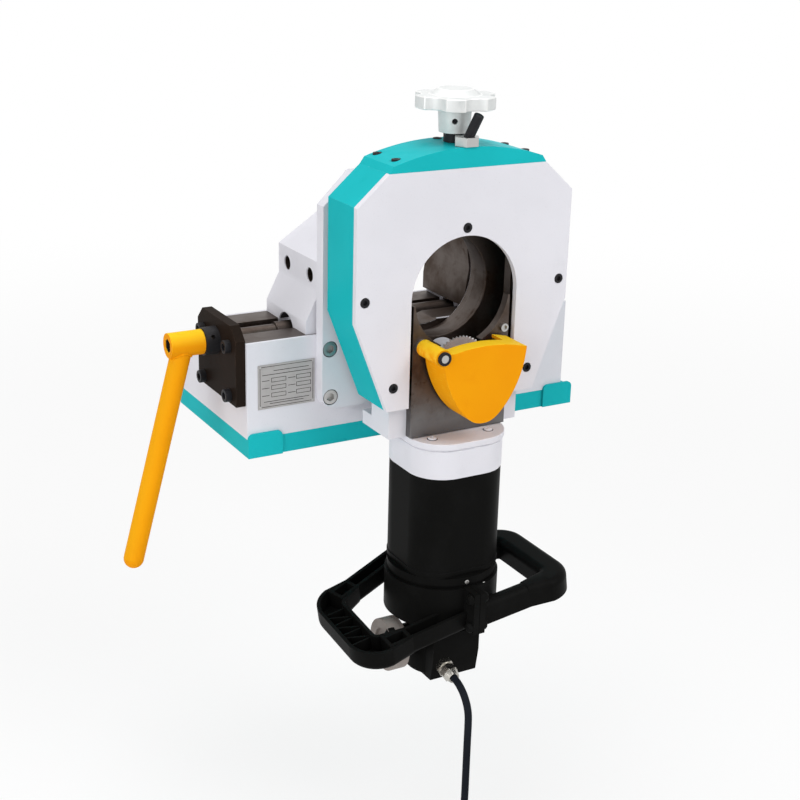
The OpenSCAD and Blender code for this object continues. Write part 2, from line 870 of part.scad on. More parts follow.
thrust_r = 12;
thrust_h = 6;

module cap_screws() {
    color([0.1, 0.1, 0.1]) at_axis() for (at = cap_screws_at)
        translate([at[0], y_cover + at[1], cap_z(at[0]) - 2])
            difference() {
                cylinder(h = 3, r = cap_screw_r);
                translate([0, 0, 1.2]) cylinder(h = 3, r = cap_screw_r * 0.5, $fn = 6);
            }
}

guide_low = 70;
guide_up = 90;

module slide_guides() {
    color("gray") at_axis() for (side = [-1, 1])
        translate([side * (frame_hw + side_gap + guide_w / 2) - guide_w / 2, y_shell, -guide_low])
            cube([guide_w, y_frame + frame_t - y_shell, guide_low + guide_up]);
}

// Feed screw with its knob, and the clamp

module feed_screw() {
    low = bridge_z - slide_down;
    color("silver") at_axis() translate([0, y_feed, 0]) {
        translate([0, 0, low]) cylinder(h = knob_base + knob_h - 4 - low, r = feed_r);
        translate([0, 0, head_top + side_gap]) cylinder(h = thrust_h, r = thrust_r);
    }
}

collar_base = cap_top + side_gap;
hub_base = collar_base + feed_collar_h;
knob_base = hub_base + knob_hub_h;

module feed_collar() {
    color([0.12, 0.12, 0.13]) at_axis() translate([0, y_feed, collar_base]) difference() {
        cylinder(h = feed_collar_h, r = feed_collar_r);
        translate([0, 0, -eps]) cylinder(h = feed_collar_h + 2 * eps, r = feed_r + seat_fit);
    }
}

module knob_hub() {
    color("gainsboro") at_axis() translate([0, y_feed, hub_base]) difference() {
        cylinder(h = knob_hub_h, r1 = knob_hub_r, r2 = knob_hub_r + 1.5);
        translate([0, 0, -eps]) cylinder(h = knob_hub_h + 2 * eps, r = feed_r + seat_fit);
        translate([0, 0, knob_hub_h * 0.5]) rotate([90, 0, -30]) cylinder(h = 2 * knob_hub_r, r = 3);
    }
}

module star_knob() {
    bite = knob_r * 0.36;
    color("whitesmoke") at_axis() translate([0, y_feed, knob_base]) difference() {
        union() {
            linear_extrude(knob_h) difference() {
                circle(knob_r);
                for (i = [0 : knob_lobes - 1])
                    rotate((i + 0.5) * 360 / knob_lobes) translate([knob_r + bite * 0.5, 0]) circle(bite);
            }
            translate([0, 0, knob_h]) cylinder(h = 6, r1 = knob_r * 0.62, r2 = knob_r * 0.42);
        }
        translate([0, 0, -eps]) cylinder(h = knob_h - 4 + 2 * eps, r = feed_r + seat_fit);
    }
}

module clamp_stud() {
    color("silver") at_axis() translate([0, y_cover + clamp_y, head_top + stud_foot])
        cylinder(h = cap_rise - stud_foot + side_gap + clamp_h * 0.25, r = stud_r);
}

module clamp_nut() {
    color("silver") at_axis() translate([0, y_cover + clamp_y, cap_top + side_gap]) difference() {
        cylinder(h = clamp_h, r = clamp_r, $fn = 6);
        translate([0, 0, -eps]) cylinder(h = clamp_h * 0.45 + eps, r = stud_r + run_fit);
        clamp_rod(lever_r + seat_fit);
    }
}

// The clamp lever's rod, leaning out of the nut
module clamp_rod(r) {
    translate([1, 0, clamp_h * 0.6]) rotate([22, 13, 0]) cylinder(h = lever_l, r = r);
}

module clamp_lever() {
    color([0.1, 0.1, 0.1]) at_axis() translate([0, y_cover + clamp_y, cap_top + side_gap]) clamp_rod(lever_r);
}

// Slide: plate, frame and gear case

module slide_plate() {
    color("gray") at_axis() difference() {
        along_y(y_plate, plate_t) difference() {
            translate([-plate_hw, -plate_low]) square([2 * plate_hw, plate_low - 6]);
            circle(bore_r);
            translate([0, -saw_z]) circle(blade_r + blade_room);
        }
        translate([-guard_pin_x, 0, -guard_pin_z])
            rod_y(y_plate - eps, plate_t + 2 * eps, guard_pin_r + seat_fit);
    }
}

module slide_frame() {
    nut_pad = feed_nut_r + 4;
    top = bridge_z + bridge_h;
    color("dimgray") at_axis() difference() {
        union() {
            for (side = [-1, 1])
                translate([side * (frame_hw - frame_bar / 2), y_frame + frame_t / 2, (top - neck_top) / 2])
                    cube([frame_bar, frame_t, top + neck_top], center = true);
            block([-frame_hw, y_frame, bridge_z], [frame_hw, y_frame + frame_t, top]);
            block([-nut_pad, y_frame, bridge_z], [nut_pad, y_feed + feed_nut_r + 1, top]);
        }
        translate([0, y_feed, bridge_z - eps]) cylinder(h = bridge_h + 2 * eps, r = feed_nut_r + seat_fit);
    }
}

module feed_nut() {
    color("darkgoldenrod") at_axis() translate([0, y_feed, bridge_z]) difference() {
        cylinder(h = bridge_h, r = feed_nut_r);
        translate([0, 0, -eps]) cylinder(h = bridge_h + 2 * eps, r = feed_r + run_fit);
    }
}

y_case_front = y_frame;
y_case_mid = y_wall - 1.4;
y_case_back = y_flange - 2;
y_head_back = spigot_front - retain_t - 3;

module gear_case() {
    color("ghostwhite") at_axis() difference() {
        union() {
            block([-neck_hw, y_case_front, -bell_top], [neck_hw, y_case_back, -neck_back]);
            block([-neck_hw, y_case_front, -bell_top], [neck_hw, y_case_mid, -neck_step]);
            block([-frame_hw, y_case_front, -bell_top], [frame_hw, y_case_mid, -neck_top]);
            block([-gear_head_r, y_case_front, -bell_top], [gear_head_r, y_head_back, -saw_z]);
            translate([0, 0, -saw_z]) rod_y(y_case_front, y_head_back - y_case_front, gear_head_r);
        }
        translate([0, 0, -saw_z]) {
            rod_y(y_case_front - eps, y_motor - y_case_front, arbor_r + run_fit);
            rod_y(y_motor, y_head_back - y_motor + eps, tail_journal + run_fit);
            rod_y(y_motor - bevel_room, y_head_back - 3 - y_motor + bevel_room, bevel_r + 3);
        }
        translate([0, y_motor, -saw_z - bevel_r - 12]) cylinder(h = bevel_r + 12, r = pinion_r + 3);
        translate([0, y_motor, -bell_top - eps]) cylinder(h = bell_top - saw_z, r = drive_r + run_fit);
    }
}

bevel_room = 9;
tail_journal = 5;

// Outline of the motor seen from above, a square with large round corners, grown by e
module motor_outline(e) {
    r = motor_round + e;
    mid = motor_hw - motor_round;
    square([2 * (mid + r), 2 * mid], center = true);
    square([2 * mid, 2 * (mid + r)], center = true);
    for (sx = [-1, 1], sy = [-1, 1]) translate([sx * mid, sy * mid]) circle(r);
}

module end_bell() {
    groove = 2;
    flange_h = 9;
    color("ghostwhite") at_axis() translate([0, y_motor, bell_low]) difference() {
        union() {
            linear_extrude(bell_h - flange_h) motor_outline(0.5);
            translate([0, 0, bell_h - flange_h - eps]) linear_extrude(groove + 2 * eps) motor_outline(-1);
            translate([0, 0, bell_h - flange_h + groove])
                linear_extrude(flange_h - groove) motor_outline(bell_out);
        }
        translate([0, 0, bell_h / 2 - eps]) cylinder(h = bell_h, r = drive_r + run_fit);
        translate([-100, y_case_back - y_motor, -eps]) cube([200, 100, bell_h + 2 * eps]);
    }
}

// Motor, handles, selector and gland

module motor_body() {
    color([0.1, 0.1, 0.1]) at_axis() translate([0, y_motor, motor_low]) {
        linear_extrude(motor_l) motor_outline(0);
        translate([0, 0, 3]) linear_extrude(4) motor_outline(0.8);
    }
}

module motor_tail() {
    rim = 8;
    waist = 54;
    half = 36;
    box_hw = 30;
    color([0.09, 0.09, 0.09]) at_axis() translate([0, y_motor, tail_low]) difference() {
        union() {
            translate([0, 0, tail_l - rim]) cylinder(h = rim, r = tail_r + 2);
            translate([0, 0, tail_l - rim - waist]) cylinder(h = waist + eps, r = tail_r);
            translate([0, 0, tail_l - rim - waist - 16]) cylinder(h = 16, r1 = half, r2 = tail_r);
            translate([0, 0, 6]) cylinder(h = tail_l - rim - waist - 20, r = half + 2);
            cylinder(h = 6, r1 = half - 8, r2 = half + 2);
            translate([-box_hw, -half - 4, 3]) cube([2 * box_hw, half, tail_l - rim - waist - 20]);
            translate([0, 0, selector_up]) rod_x(-selector_out, selector_out - half / 2, selector_r * 0.6);
        }
        translate(gland_at - [0, y_motor, tail_low]) rotate([gland_lean - 180, 0, 0])
            translate([-100, -100, -100]) cube([200, 200, 100]);
    }
}

module gear_selector() {
    color("lightgray") at_axis() translate([0, y_motor, selector_z]) {
        difference() {
            rod_x(-selector_out - side_gap - selector_t, selector_t, selector_r);
            rod_x(-selector_out - side_gap - selector_t - eps, 4 + eps, selector_r - 11);
        }
        translate([-selector_out - side_gap - selector_t + 1, 0, 0]) rotate([35, 0, 0])
            cube([9, 9, 2 * selector_r + 4], center = true);
    }
}

// Section of a handle: a bar rounded on one side, with an open channel in the other
module grip_section(w) {
    translate([0, -grip_h * 0.42]) difference() {
        arched_rect(w, grip_h, grip_round);
        translate([grip_wall - w / 2, -eps]) square([w - 2 * grip_wall, grip_h - grip_wall - 2 + eps]);
    }
}

band_h = 46;
ear_t = 7;
ear_w = 25;
ear_h = 48;
ear_bolt_r = 3;

// Ribs across the channel of a grip from y0 to y1, straight ones and slanted ones by turns
module grip_ribs(y0, y1) {
    step = (y1 - y0) * 0.31;
    span = grip_w - 2 * grip_wall + 2;
    run = step * 0.66;
    tall = grip_h * 0.7;
    for (i = [-1 : 2])
        translate([handle_hw, (y0 + y1) / 2 + (i - 0.5) * step, grip_h * 0.1]) {
            cube([span, 2, tall], center = true);
            if (i < 2)
                translate([0, step / 2, 0.6]) rotate([0, 0, -atan(span / run)])
                    cube([2, norm([span, run]), tall], center = true);
        }
}

// A handle's loop: front arm, grip and back arm, which slants towards the front
module grip_loop(slant, out) {
    corner = handle_hw - grip_bend;
    front = grip_bend - handle_hd;
    back = handle_hd + out - tan(slant) * corner - grip_bend / cos(slant);
    from = side_gap + ear_t / 2;
    translate([0, -handle_hd, 0]) along_x(from, corner - from) grip_section(arm_w);
    translate([corner, front, 0]) rotate([0, 0, -90])
        rotate_extrude(angle = 90) translate([grip_bend, 0]) grip_section(grip_w);
    translate([handle_hw, 0, 0]) along_y(front, back - front) grip_section(grip_w);
    grip_ribs(front, back);
    translate([corner, back, 0]) {
        rotate_extrude(angle = 90 - slant) translate([grip_bend, 0]) grip_section(grip_w);
        rotate([0, 0, -slant]) translate([0, grip_bend, 0]) {
            length = (corner - from - 4 * sin(slant)) / cos(slant) + grip_bend * tan(slant);
            along_x(-length, length) grip_section(arm_w);
        }
    }
}

// One handle with its half of the clamp, round the motor axis at x = 0; side is 1 for the right one
module d_handle(side) {
    lift = side * clamp_lift;
    difference() {
        union() {
            if (side > 0) translate([0, 0, -right_drop]) rotate([0, -right_roll, 0]) grip_loop(0, 0);
            else translate([0, 0, -left_lift]) rotate([-left_pitch, -left_roll, 0])
                grip_loop(arm_slant, slant_out);
            for (sy = [-1, 1])
                translate([side_gap, sy * (tail_r + ear_w / 2) - ear_w / 2, lift - ear_h / 2])
                    cube([ear_t, ear_w, ear_h]);
            intersection() {
                translate([0, 0, lift - band_h / 2]) cylinder(h = band_h, r = tail_r + 4.5);
                translate([side_gap, -2 * tail_r, -2 * band_h]) cube([2 * tail_r, 4 * tail_r, 4 * band_h]);
            }
        }
        translate([0, 0, -2 * ear_h]) cylinder(h = 4 * ear_h, r = tail_r + side_gap);
        for (sy = [-1, 1], sz = [-1, 1])
            translate([0, sy * (tail_r + ear_w - 6), lift + sz * (ear_h / 2 - 7)])
                rod_x(-eps, 60, ear_bolt_r + screw_fit);
    }
}

module at_grip() {
    at_axis() translate([0, y_motor, grip_z]) children();
}

module right_handle() {
    color([0.13, 0.13, 0.14]) at_grip() d_handle(1);
}

module left_handle() {
    color([0.13, 0.13, 0.14]) at_grip() rotate([0, 180, 0]) d_handle(-1);
}

module handle_bolts() {
    head = 4;
    reach = ear_t + side_gap;
    color("silver") at_grip() for (sy = [-1, 1], sz = [-1, 1])
        translate([0, sy * (tail_r + ear_w - 6), clamp_lift + sz * (ear_h / 2 - 7)]) {
            rod_x(-reach - eps, 2 * reach + 2 * eps, ear_bolt_r);
            for (x0 = [-reach - head, reach]) rod_x(x0, head, ear_bolt_r + 1.5);
        }
}

// The gland's axis points forward and a little down
module at_gland() {
    at_axis() translate(gland_at) rotate([gland_lean, 0, 0]) children();
}

module cable_gland() {
    color("silver") at_gland() difference() {
        union() {
            cylinder(h = 6, r = 11, $fn = 6);
            cylinder(h = 12, r = 8.5);
            translate([0, 0, 9]) cylinder(h = 8, r = 10, $fn = 6);
            translate([0, 0, 17]) cylinder(h = gland_l - 17, r1 = 9, r2 = 6.5);
        }
        translate([0, 0, gland_l - 8]) cylinder(h = 8 + eps, r = cord_d / 2 + 0.4);
    }
}

// Saw: blade, arbor and drive

y_blade = y_frame - 6.5;

// Outline of the toothed blade
module blade_outline() {
    step = 360 / blade_teeth;
    root = blade_r - tooth_h;
    polygon([
        for (i = [0 : blade_teeth - 1], k = [0, 1])
            let (a = (i + k * 0.3) * step, r = k == 0 ? blade_r : root) [r * cos(a), r * sin(a)]
    ]);
}

module saw_blade() {
    color("silver") at_axis() translate([0, 0, -saw_z]) difference() {
        along_y(y_blade - blade_t, blade_t) blade_outline();
        rod_y(y_blade - blade_t - eps, blade_t + 2 * eps, arbor_r + seat_fit);
    }
}

// The nut and the arbor's nose end behind the guard, which swings past them
guard_room = 1;
nut_h = y_blade - blade_t - y_guard - guard_room;

module blade_nut() {
    color("silver") at_axis() translate([0, y_blade - blade_t, -saw_z]) rotate([90, 0, 0]) difference() {
        union() {
            cylinder(h = 1.6, r = arbor_flange_r);
            cylinder(h = nut_h, r = arbor_flange_r - 1, $fn = 6);
        }
        translate([0, 0, -eps]) cylinder(h = nut_h + 2 * eps, r = arbor_r + seat_fit);
    }
}

// Outline of a bevel gear at its large end; tip and root are measured from the pitch radius
module bevel_outline(r, teeth, tip, root) {
    step = 360 / teeth;
    base = 0.27 * step;
    top = 0.1 * step;
    polygon([
        for (i = [0 : teeth - 1], k = [0 : 3])
            let (a = i * step + [-base, -top, top, base][k], q = k == 0 || k == 3 ? r - root : r + tip)
                [q * cos(a), q * sin(a)]
    ]);
}

pinion_teeth = 10;
bevel_teeth = 20;
small_end = 0.62;
tooth_tip = 0.7;

module saw_arbor() {
    nose = nut_h + 0.3;
    gear_y = y_motor + pinion_r;
    front = y_blade - blade_t - nose;
    color("silver") at_axis() translate([0, 0, -saw_z]) {
        rod_y(front, y_motor - bevel_room - front, arbor_r);
        rod_y(y_motor - bevel_room - eps, y_head_back - y_motor + bevel_room, tail_journal);
        rod_y(y_blade, y_case_front - side_gap - y_blade, arbor_flange_r);
        translate([0, gear_y, 0]) rotate([90, 0, 0])
            linear_extrude(height = pinion_r * (1 - small_end), scale = small_end)
                bevel_outline(bevel_r, bevel_teeth, tooth_tip, 1.6);
        rod_y(gear_y, y_head_back - 3 - side_gap - gear_y, bevel_r - 3);
    }
}

module drive_shaft() {
    gear_z = -saw_z - bevel_r;
    low = -bell_top - bell_h / 2 + 2;
    color("gray") at_axis() translate([0, y_motor, 0]) {
        translate([0, 0, gear_z]) rotate(180 / pinion_teeth + 90)
            linear_extrude(height = bevel_r * (1 - small_end), scale = small_end)
                bevel_outline(pinion_r, pinion_teeth, tooth_tip, 1.1);
        translate([0, 0, gear_z - 8]) cylinder(h = 8, r = pinion_r - 1.6);
        translate([0, 0, low]) cylinder(h = gear_z - 8 - low, r = drive_r);
    }
}

// Guard: a hollow shield that swings on a pin

guard_mid = 3;
guard_lean = 51;
tip_r = 58.5;

module guard() {
    notch_hw = blade_r + 2;
    color("orange") at_axis() difference() {
        union() {
            difference() {
                along_y(y_guard - guard_d, guard_d) guard_outline(0);
                along_y(y_guard - guard_d + guard_t, guard_d) guard_outline(guard_t);
                block([-notch_hw, y_guard - guard_d * 0.55, -guard_top - guard_t - eps],
                    [notch_hw, y_guard + eps, -guard_top + eps]);
            }
            translate([-guard_pin_x, 0, -guard_pin_z]) rod_y(y_guard - guard_d, guard_d, barrel_r);
        }
        translate([-guard_pin_x, 0, -guard_pin_z])
            rod_y(y_guard - guard_d - eps, guard_d + 2 * eps, guard_pin_r + run_fit);
    }
}

// The overlap of the guard's two curved sides, its tip and its upper edge
module guard_outline(e) {
    intersection() {
        translate([guard_mid + guard_lean, 2 - guard_top]) circle(guard_side_r - e, $fn = 96);
        translate([guard_mid - guard_lean, 2 - guard_top]) circle(guard_side_r - e, $fn = 96);
        translate([guard_mid, tip_r - guard_tip]) circle(tip_r - e, $fn = 96);
        translate([-100, -200]) square([200, 200 - guard_top - e]);
    }
}

module guard_pin() {
    color("silver") at_axis() translate([-guard_pin_x, 0, -guard_pin_z]) {
        rod_y(y_guard - guard_d - 3, y_frame - y_guard + guard_d + 3, guard_pin_r);
        rod_y(y_guard - guard_d - 2.5, 2.2, guard_pin_r + 2);
        rod_y(y_guard + side_gap, y_plate - y_guard - side_gap, guard_pin_r + 3);
    }
}

module guard_stop() {
    color("silver") at_axis() translate([plate_hw - 7, y_plate, -guard_top + 6]) screw_y(4.5, 3.8, 2, 0);
}

// Cord: a tube swept along points, as one closed surface

function tube_frames(p) = [
    for (i = [0 : len(p) - 1])
        let (t = unit(p[min(i + 1, len(p) - 1)] - p[max(i - 1, 0)]),
             s = unit(cross(t, abs(t[0]) < 0.9 ? [1, 0, 0] : [0, 1, 0])))
            [s, cross(t, s)]
];

module tube(p, r, sides) {
    f = tube_frames(p);
    n = len(p);
    ring = [for (i = [0 : n - 1], k = [0 : sides - 1])
        let (a = k * 360 / sides) p[i] + r * (cos(a) * f[i][0] + sin(a) * f[i][1])];
    walls = [for (i = [0 : n - 2], k = [0 : sides - 1], h = [0, 1])
        let (a = i * sides + k, b = i * sides + (k + 1) % sides)
            h == 0 ? [a, b, b + sides] : [a, b + sides, a + sides]];
    caps = [for (k = [1 : sides - 2], e = [0, 1])
        e == 0 ? [0, k + 1, k] : [(n - 1) * sides, (n - 1) * sides + k, (n - 1) * sides + k + 1]];
    polyhedron(ring, concat(walls, caps));
}

// Point of the coil after t turns: it spirals in and out, and climbs where the spiral reverses
coil_mid = route_end + [coil_r, 0, 0];
coil_turns = coil_layers * layer_turns;
function coil_radius(t) = let (u = t % (2 * layer_turns))
    coil_r - coil_pitch * min(u, 2 * layer_turns - u);
function coil_layer(t) = let (near = min(coil_layers - 1, max(1, round(t / layer_turns))) * layer_turns)
    near / layer_turns - 1 + min(1, max(0, 2 * (t - near) + 0.5));
function coil_point(t) = coil_mid + [
    coil_radius(t) * cos(180 + 360 * t),
    coil_radius(t) * sin(180 + 360 * t),
    coil_pitch * coil_layer(t)
];
coil_end = coil_point(coil_turns);
plug_at = [coil_end[0], coil_end[1] - 104, route_end[2] - cord_d / 2 + plug_r];
coil_points = concat(
    [route_end],
    [for (i = [1 : coil_turns * coil_rings]) coil_point(i / coil_rings)],
    [coil_end - [0, 18, 0], coil_end - [0, 36, 0]],
    [for (k = [1 : 5]) [plug_at[0], coil_end[1] - 36 - 12 * k,
        coil_end[2] + (plug_at[2] - coil_end[2]) * (1 - cos(36 * k)) / 2]],
    [plug_at]
);

// Least gap between loops of the coil, taken between points at least half a turn apart
coil_gap = min([
    for (i = [0 : len(coil_points) - 1])
        for (j = [i + coil_rings / 2 : 1 : len(coil_points) - 1]) norm(coil_points[i] - coil_points[j])
]) - cord_d;
echo(least_coil_gap = coil_gap);

module power_cord() {
    color([0.12, 0.12, 0.13]) tube(cord_route, cord_d / 2, 8);
}

module cord_coil() {
    color([0.12, 0.12, 0.13]) tube(coil_points, cord_d / 2, 6);
}

module cord_tie() {
    wide = 12;
    wall = 1.6;
    room = cord_d / 2 + 0.6;
    inner = coil_r - 1.75 * coil_pitch - room;
    outer = coil_r - 0.25 * coil_pitch + room;
    top = (coil_layers - 1) * coil_pitch + room;
    color([0.2, 0.2, 0.2]) translate(coil_mid) difference() {
        block([-wide / 2, inner - wall, -room - wall], [wide / 2, outer + wall, top + wall]);
        block([-wide, inner, -room], [wide, outer, top]);
    }
}

module cord_plug() {
    color([0.15, 0.15, 0.16]) translate(plug_at) rotate([90, 0, 0]) {
        cylinder(h = 16, r1 = cord_d / 2 + 1.5, r2 = 11);
        translate([0, 0, 16 - eps]) cylinder(h = 30 + eps, r = plug_r);
        for (side = [-1, 1]) translate([side * 9.5, 0, 45]) cylinder(h = 20, r = 2.4);
    }
}

base_plate();
vise_body();
front_rail();
rear_rail();
rating_plate();
end_plate();
end_plate_screws();
left_screw_bush();
right_screw_bush();
fixed_flange();
flange_screws();
swing_journal();
retaining_ring();
vise_screw();
screw_collar();
crank_hub();
crank_arm();
left_jaw();
left_jaw_insert();
left_jaw_nut();
right_jaw();
right_jaw_insert();
right_jaw_nut();
head_shell();
front_cover();
cover_screws();
top_cap();
cap_screws();
swing_bush();
slide_guides();
clamp_stud();
feed_screw();
feed_collar();
knob_hub();
star_knob();
clamp_nut();
clamp_lever();
slide_plate();
slide_frame();
feed_nut();
gear_case();
end_bell();
motor_body();
motor_tail();
left_handle();
right_handle();
handle_bolts();
guard_pin();
guard_stop();
cable_gland();
saw_arbor();
saw_blade();
blade_nut();
drive_shaft();
guard();
gear_selector();
power_cord();
cord_coil();
cord_tie();
cord_plug();
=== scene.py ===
# %% [markdown]
# # The orbital pipe cutter
# A vise holds a pipe on its base plate, and a saw head swings round the pipe on a big bearing.
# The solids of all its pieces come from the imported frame, in metres. This lesson gives them their
# rounded edges, paint, metal and plastic, and adds the lead and the small trim.

# %% Load the frame
import json
from math import cos, exp, pi, radians, sin

import bpy
from mathutils import Matrix, Vector


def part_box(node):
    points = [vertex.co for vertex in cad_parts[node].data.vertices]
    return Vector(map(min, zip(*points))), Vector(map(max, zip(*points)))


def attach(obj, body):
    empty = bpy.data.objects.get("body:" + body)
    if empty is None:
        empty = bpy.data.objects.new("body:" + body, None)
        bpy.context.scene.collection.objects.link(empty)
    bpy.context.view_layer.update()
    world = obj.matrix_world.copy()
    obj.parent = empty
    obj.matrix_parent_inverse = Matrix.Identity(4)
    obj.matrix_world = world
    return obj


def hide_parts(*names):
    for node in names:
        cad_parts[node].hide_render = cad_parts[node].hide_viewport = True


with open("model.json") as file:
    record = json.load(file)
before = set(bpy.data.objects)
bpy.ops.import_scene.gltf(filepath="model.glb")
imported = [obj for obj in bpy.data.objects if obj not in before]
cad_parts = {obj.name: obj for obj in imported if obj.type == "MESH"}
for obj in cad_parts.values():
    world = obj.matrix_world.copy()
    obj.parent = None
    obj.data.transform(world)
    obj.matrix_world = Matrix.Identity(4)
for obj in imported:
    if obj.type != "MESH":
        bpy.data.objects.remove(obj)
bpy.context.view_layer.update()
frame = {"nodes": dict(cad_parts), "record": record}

MM = 0.001
SLOT = {part["node"]: part["material_slot"] for part in frame["record"]["subparts"]}
BODY = {node: body for body, nodes in frame["record"]["behaviour"]["bodies"].items() for node in nodes}
print("nodes:", len(SLOT), "bodies:", len(set(BODY.values())))

# %% [markdown]
# The camera stands in front of the machine, to its left and a little above it, as the photographer
# did. It could be aimed with a constraint, but a matrix built from the three angles of a tripod head
# (turn, tilt and roll) says exactly where it looks, and needs no target object.

# %% Camera
EYE = Vector((-0.783, -1.424, 0.586))
TURN, TILT, ROLL = radians(29.75), radians(19.72), radians(1.50)
LENS, SENSOR = 65.52, 36


def photo_camera():
    ahead = Vector((sin(TURN) * cos(TILT), cos(TURN) * cos(TILT), -sin(TILT)))
    level = Vector((cos(TURN), -sin(TURN), 0))
    above = level.cross(ahead)
    side = cos(ROLL) * level + sin(ROLL) * above
    top = cos(ROLL) * above - sin(ROLL) * level
    bpy.ops.object.camera_add()
    camera = bpy.context.object
    camera.name = "photo_camera"
    camera.data.lens = LENS
    camera.data.sensor_width = SENSOR
    camera.matrix_world = Matrix.Translation(EYE) @ Matrix((side, top, -ahead)).transposed().to_4x4()
    bpy.context.scene.camera = camera
    return camera


print("camera:", photo_camera().name, "lens", LENS, "mm")

# %% [markdown]
# The lead leaves the gland under the motor, hangs straight down, and lies in a neat coil on the floor
# in front, outside the picture, with its plug beside it. A lead is a fixed length of something round
# and bendy, so it is one open curve with a round bevel: the hanging part is a list of points, and the
# coil follows a rule, two turns in and two turns out, layer on layer.

# %% Power lead
LEAD_D = 8.4 * MM
COIL_R = 54 * MM
COIL_PITCH = 9 * MM
COIL_LAYERS = 4
LAYER_TURNS = 2
TURN_POINTS = 24
PLUG_R = 17.5 * MM
TAIL_FLAT, TAIL_STEP, TAIL_STEPS, TAIL_L = 36 * MM, 12 * MM, 5, 104 * MM
GLAND_X = -15
ROUTE = [Vector((GLAND_X, y, z)) * MM for y, z in (
    (-214.8, -253.5), (-221.6, -254.7), (-228.5, -256.7), (-234.8, -260), (-240.4, -264.4),
    (-245, -269.9), (-248.5, -276.2), (-250.6, -283.1), (-251.3, -290.2), (-251.3, -318),
    (-251.3, -350), (-251.3, -382), (-251.3, -412), (-253.5, -425.9), (-259.9, -438.5),
    (-269.8, -448.4), (-282.4, -454.8), (-296.3, -457), (-317.3, -457), (-338.3, -457))]


def coil_point(turns):
    """Place on the coil after some turns; it climbs one layer where the spiral reverses."""
    swing = turns % (2 * LAYER_TURNS)
    radius = COIL_R - COIL_PITCH * min(swing, 2 * LAYER_TURNS - swing)
    reverse = min(COIL_LAYERS - 1, max(1, round(turns / LAYER_TURNS))) * LAYER_TURNS
    layer = reverse / LAYER_TURNS - 1 + min(1, max(0, 2 * (turns - reverse) + 0.5))
    angle = pi + 2 * pi * turns
    middle = ROUTE[-1] + Vector((COIL_R, 0, 0))
    return middle + Vector((radius * cos(angle), radius * sin(angle), COIL_PITCH * layer))


def lead_path():
    """The hanging part, the coil, and the tail that comes down from the coil's top to the plug."""
    coil = [coil_point(i / TURN_POINTS) for i in range(1, COIL_LAYERS * LAYER_TURNS * TURN_POINTS + 1)]
    end = coil[-1]
    drop = ROUTE[-1].z - LEAD_D / 2 + PLUG_R - end.z
    tail = [end - Vector((0, TAIL_FLAT / 2, 0)), end - Vector((0, TAIL_FLAT, 0))]
    for step in range(1, TAIL_STEPS + 1):
        fallen = (1 - cos(step * pi / TAIL_STEPS)) / 2
        tail.append(end + Vector((0, -(TAIL_FLAT + TAIL_STEP * step), drop * fallen)))
    tail.append(end + Vector((0, -TAIL_L, drop)))
    return ROUTE + coil + tail


def power_lead():
    path = lead_path()
    curve = bpy.data.curves.new("power_lead", "CURVE")
    curve.dimensions = "3D"
    curve.bevel_depth = 1.0
    curve.bevel_resolution = 5
    curve.resolution_u = 3
    curve.use_fill_caps = True
    spline = curve.splines.new("BEZIER")
    spline.bezier_points.add(len(path) - 1)
    for knot, place in zip(spline.bezier_points, path):
        knot.co = place
        knot.radius = LEAD_D / 2
        knot.handle_left_type = knot.handle_right_type = "AUTO"
    lead = bpy.data.objects.new("power_lead", curve)
    bpy.context.scene.collection.objects.link(lead)
    return lead, spline.calc_length()


lead, lead_length = power_lead()
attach(lead, "carriage")
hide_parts("power_cord", "cord_coil")
print("lead: %.2f m in %d points" % (lead_length, len(lead_path())))

# %% [markdown]
# A finish is a small network of nodes. Dragging wires by hand is slow to read back, so one class wraps
# a socket: sums and products of wrapped sockets add the Math nodes, and `node` adds any other node with
# its settings first and its sockets after.

# %% Wires for the finishes
class Wire:
    """One socket of a finish; arithmetic on it adds Math nodes."""

    def __init__(self, tree, socket=None):
        self.tree = tree
        self.socket = socket

    def feed(self, target, value):
        if isinstance(value, Wire):
            self.tree.links.new(value.socket, target)
        else:
            target.default_value = value

    def node(self, kind, settings=None, sockets=None, out=0):
        made = self.tree.nodes.new("ShaderNode" + kind)
        for name, value in (settings or {}).items():
            setattr(made, name, value)
        for name, value in (sockets or {}).items():
            self.feed(made.inputs[name], value)
        return Wire(self.tree, made.outputs[out])

    def math(self, operation, *values):
        return self.node("Math", {"operation": operation}, dict(enumerate(values)))

    def __add__(self, other):
        return self.math("ADD", self, other)

    __radd__ = __add__

    def __mul__(self, other):
        return self.math("MULTIPLY", self, other)

    __rmul__ = __mul__

    def __sub__(self, other):
        return self.math("SUBTRACT", self, other)

    def __rsub__(self, other):
        return self.math("SUBTRACT", other, self)


print("wires ready")

# %% [markdown]
# Every finish starts from the same place: a Principled shader whose steady numbers sit on its own
# sockets, and the object's coordinates in metres, which are the CAD frame's. Noise at several sizes does
# most of the work: drifts of colour over a hand's width, smudges of a finger's width, grain below that.

# %% Finish helpers
FINISH = {}


def start(slot, metallic=0.0, coat=0.0, level=0.5):
    """A new finish; gives its shader and the coordinates on the object."""
    made = bpy.data.materials.new(slot)
    made.use_nodes = True
    shader = made.node_tree.nodes["Principled BSDF"]
    shader.inputs["Metallic"].default_value = metallic
    shader.inputs["Coat Weight"].default_value = coat
    shader.inputs["Coat Roughness"].default_value = 0.12
    shader.inputs["Specular IOR Level"].default_value = level
    FINISH[slot] = made
    return shader, Wire(made.node_tree).node("TexCoord", out="Object")


def noise(place, scale, detail=3.0, rough=0.55):
    """Noise with so many lumps to the metre."""
    return place.node("TexNoise", {}, {"Vector": place, "Scale": scale, "Detail": detail,
                                       "Roughness": rough})


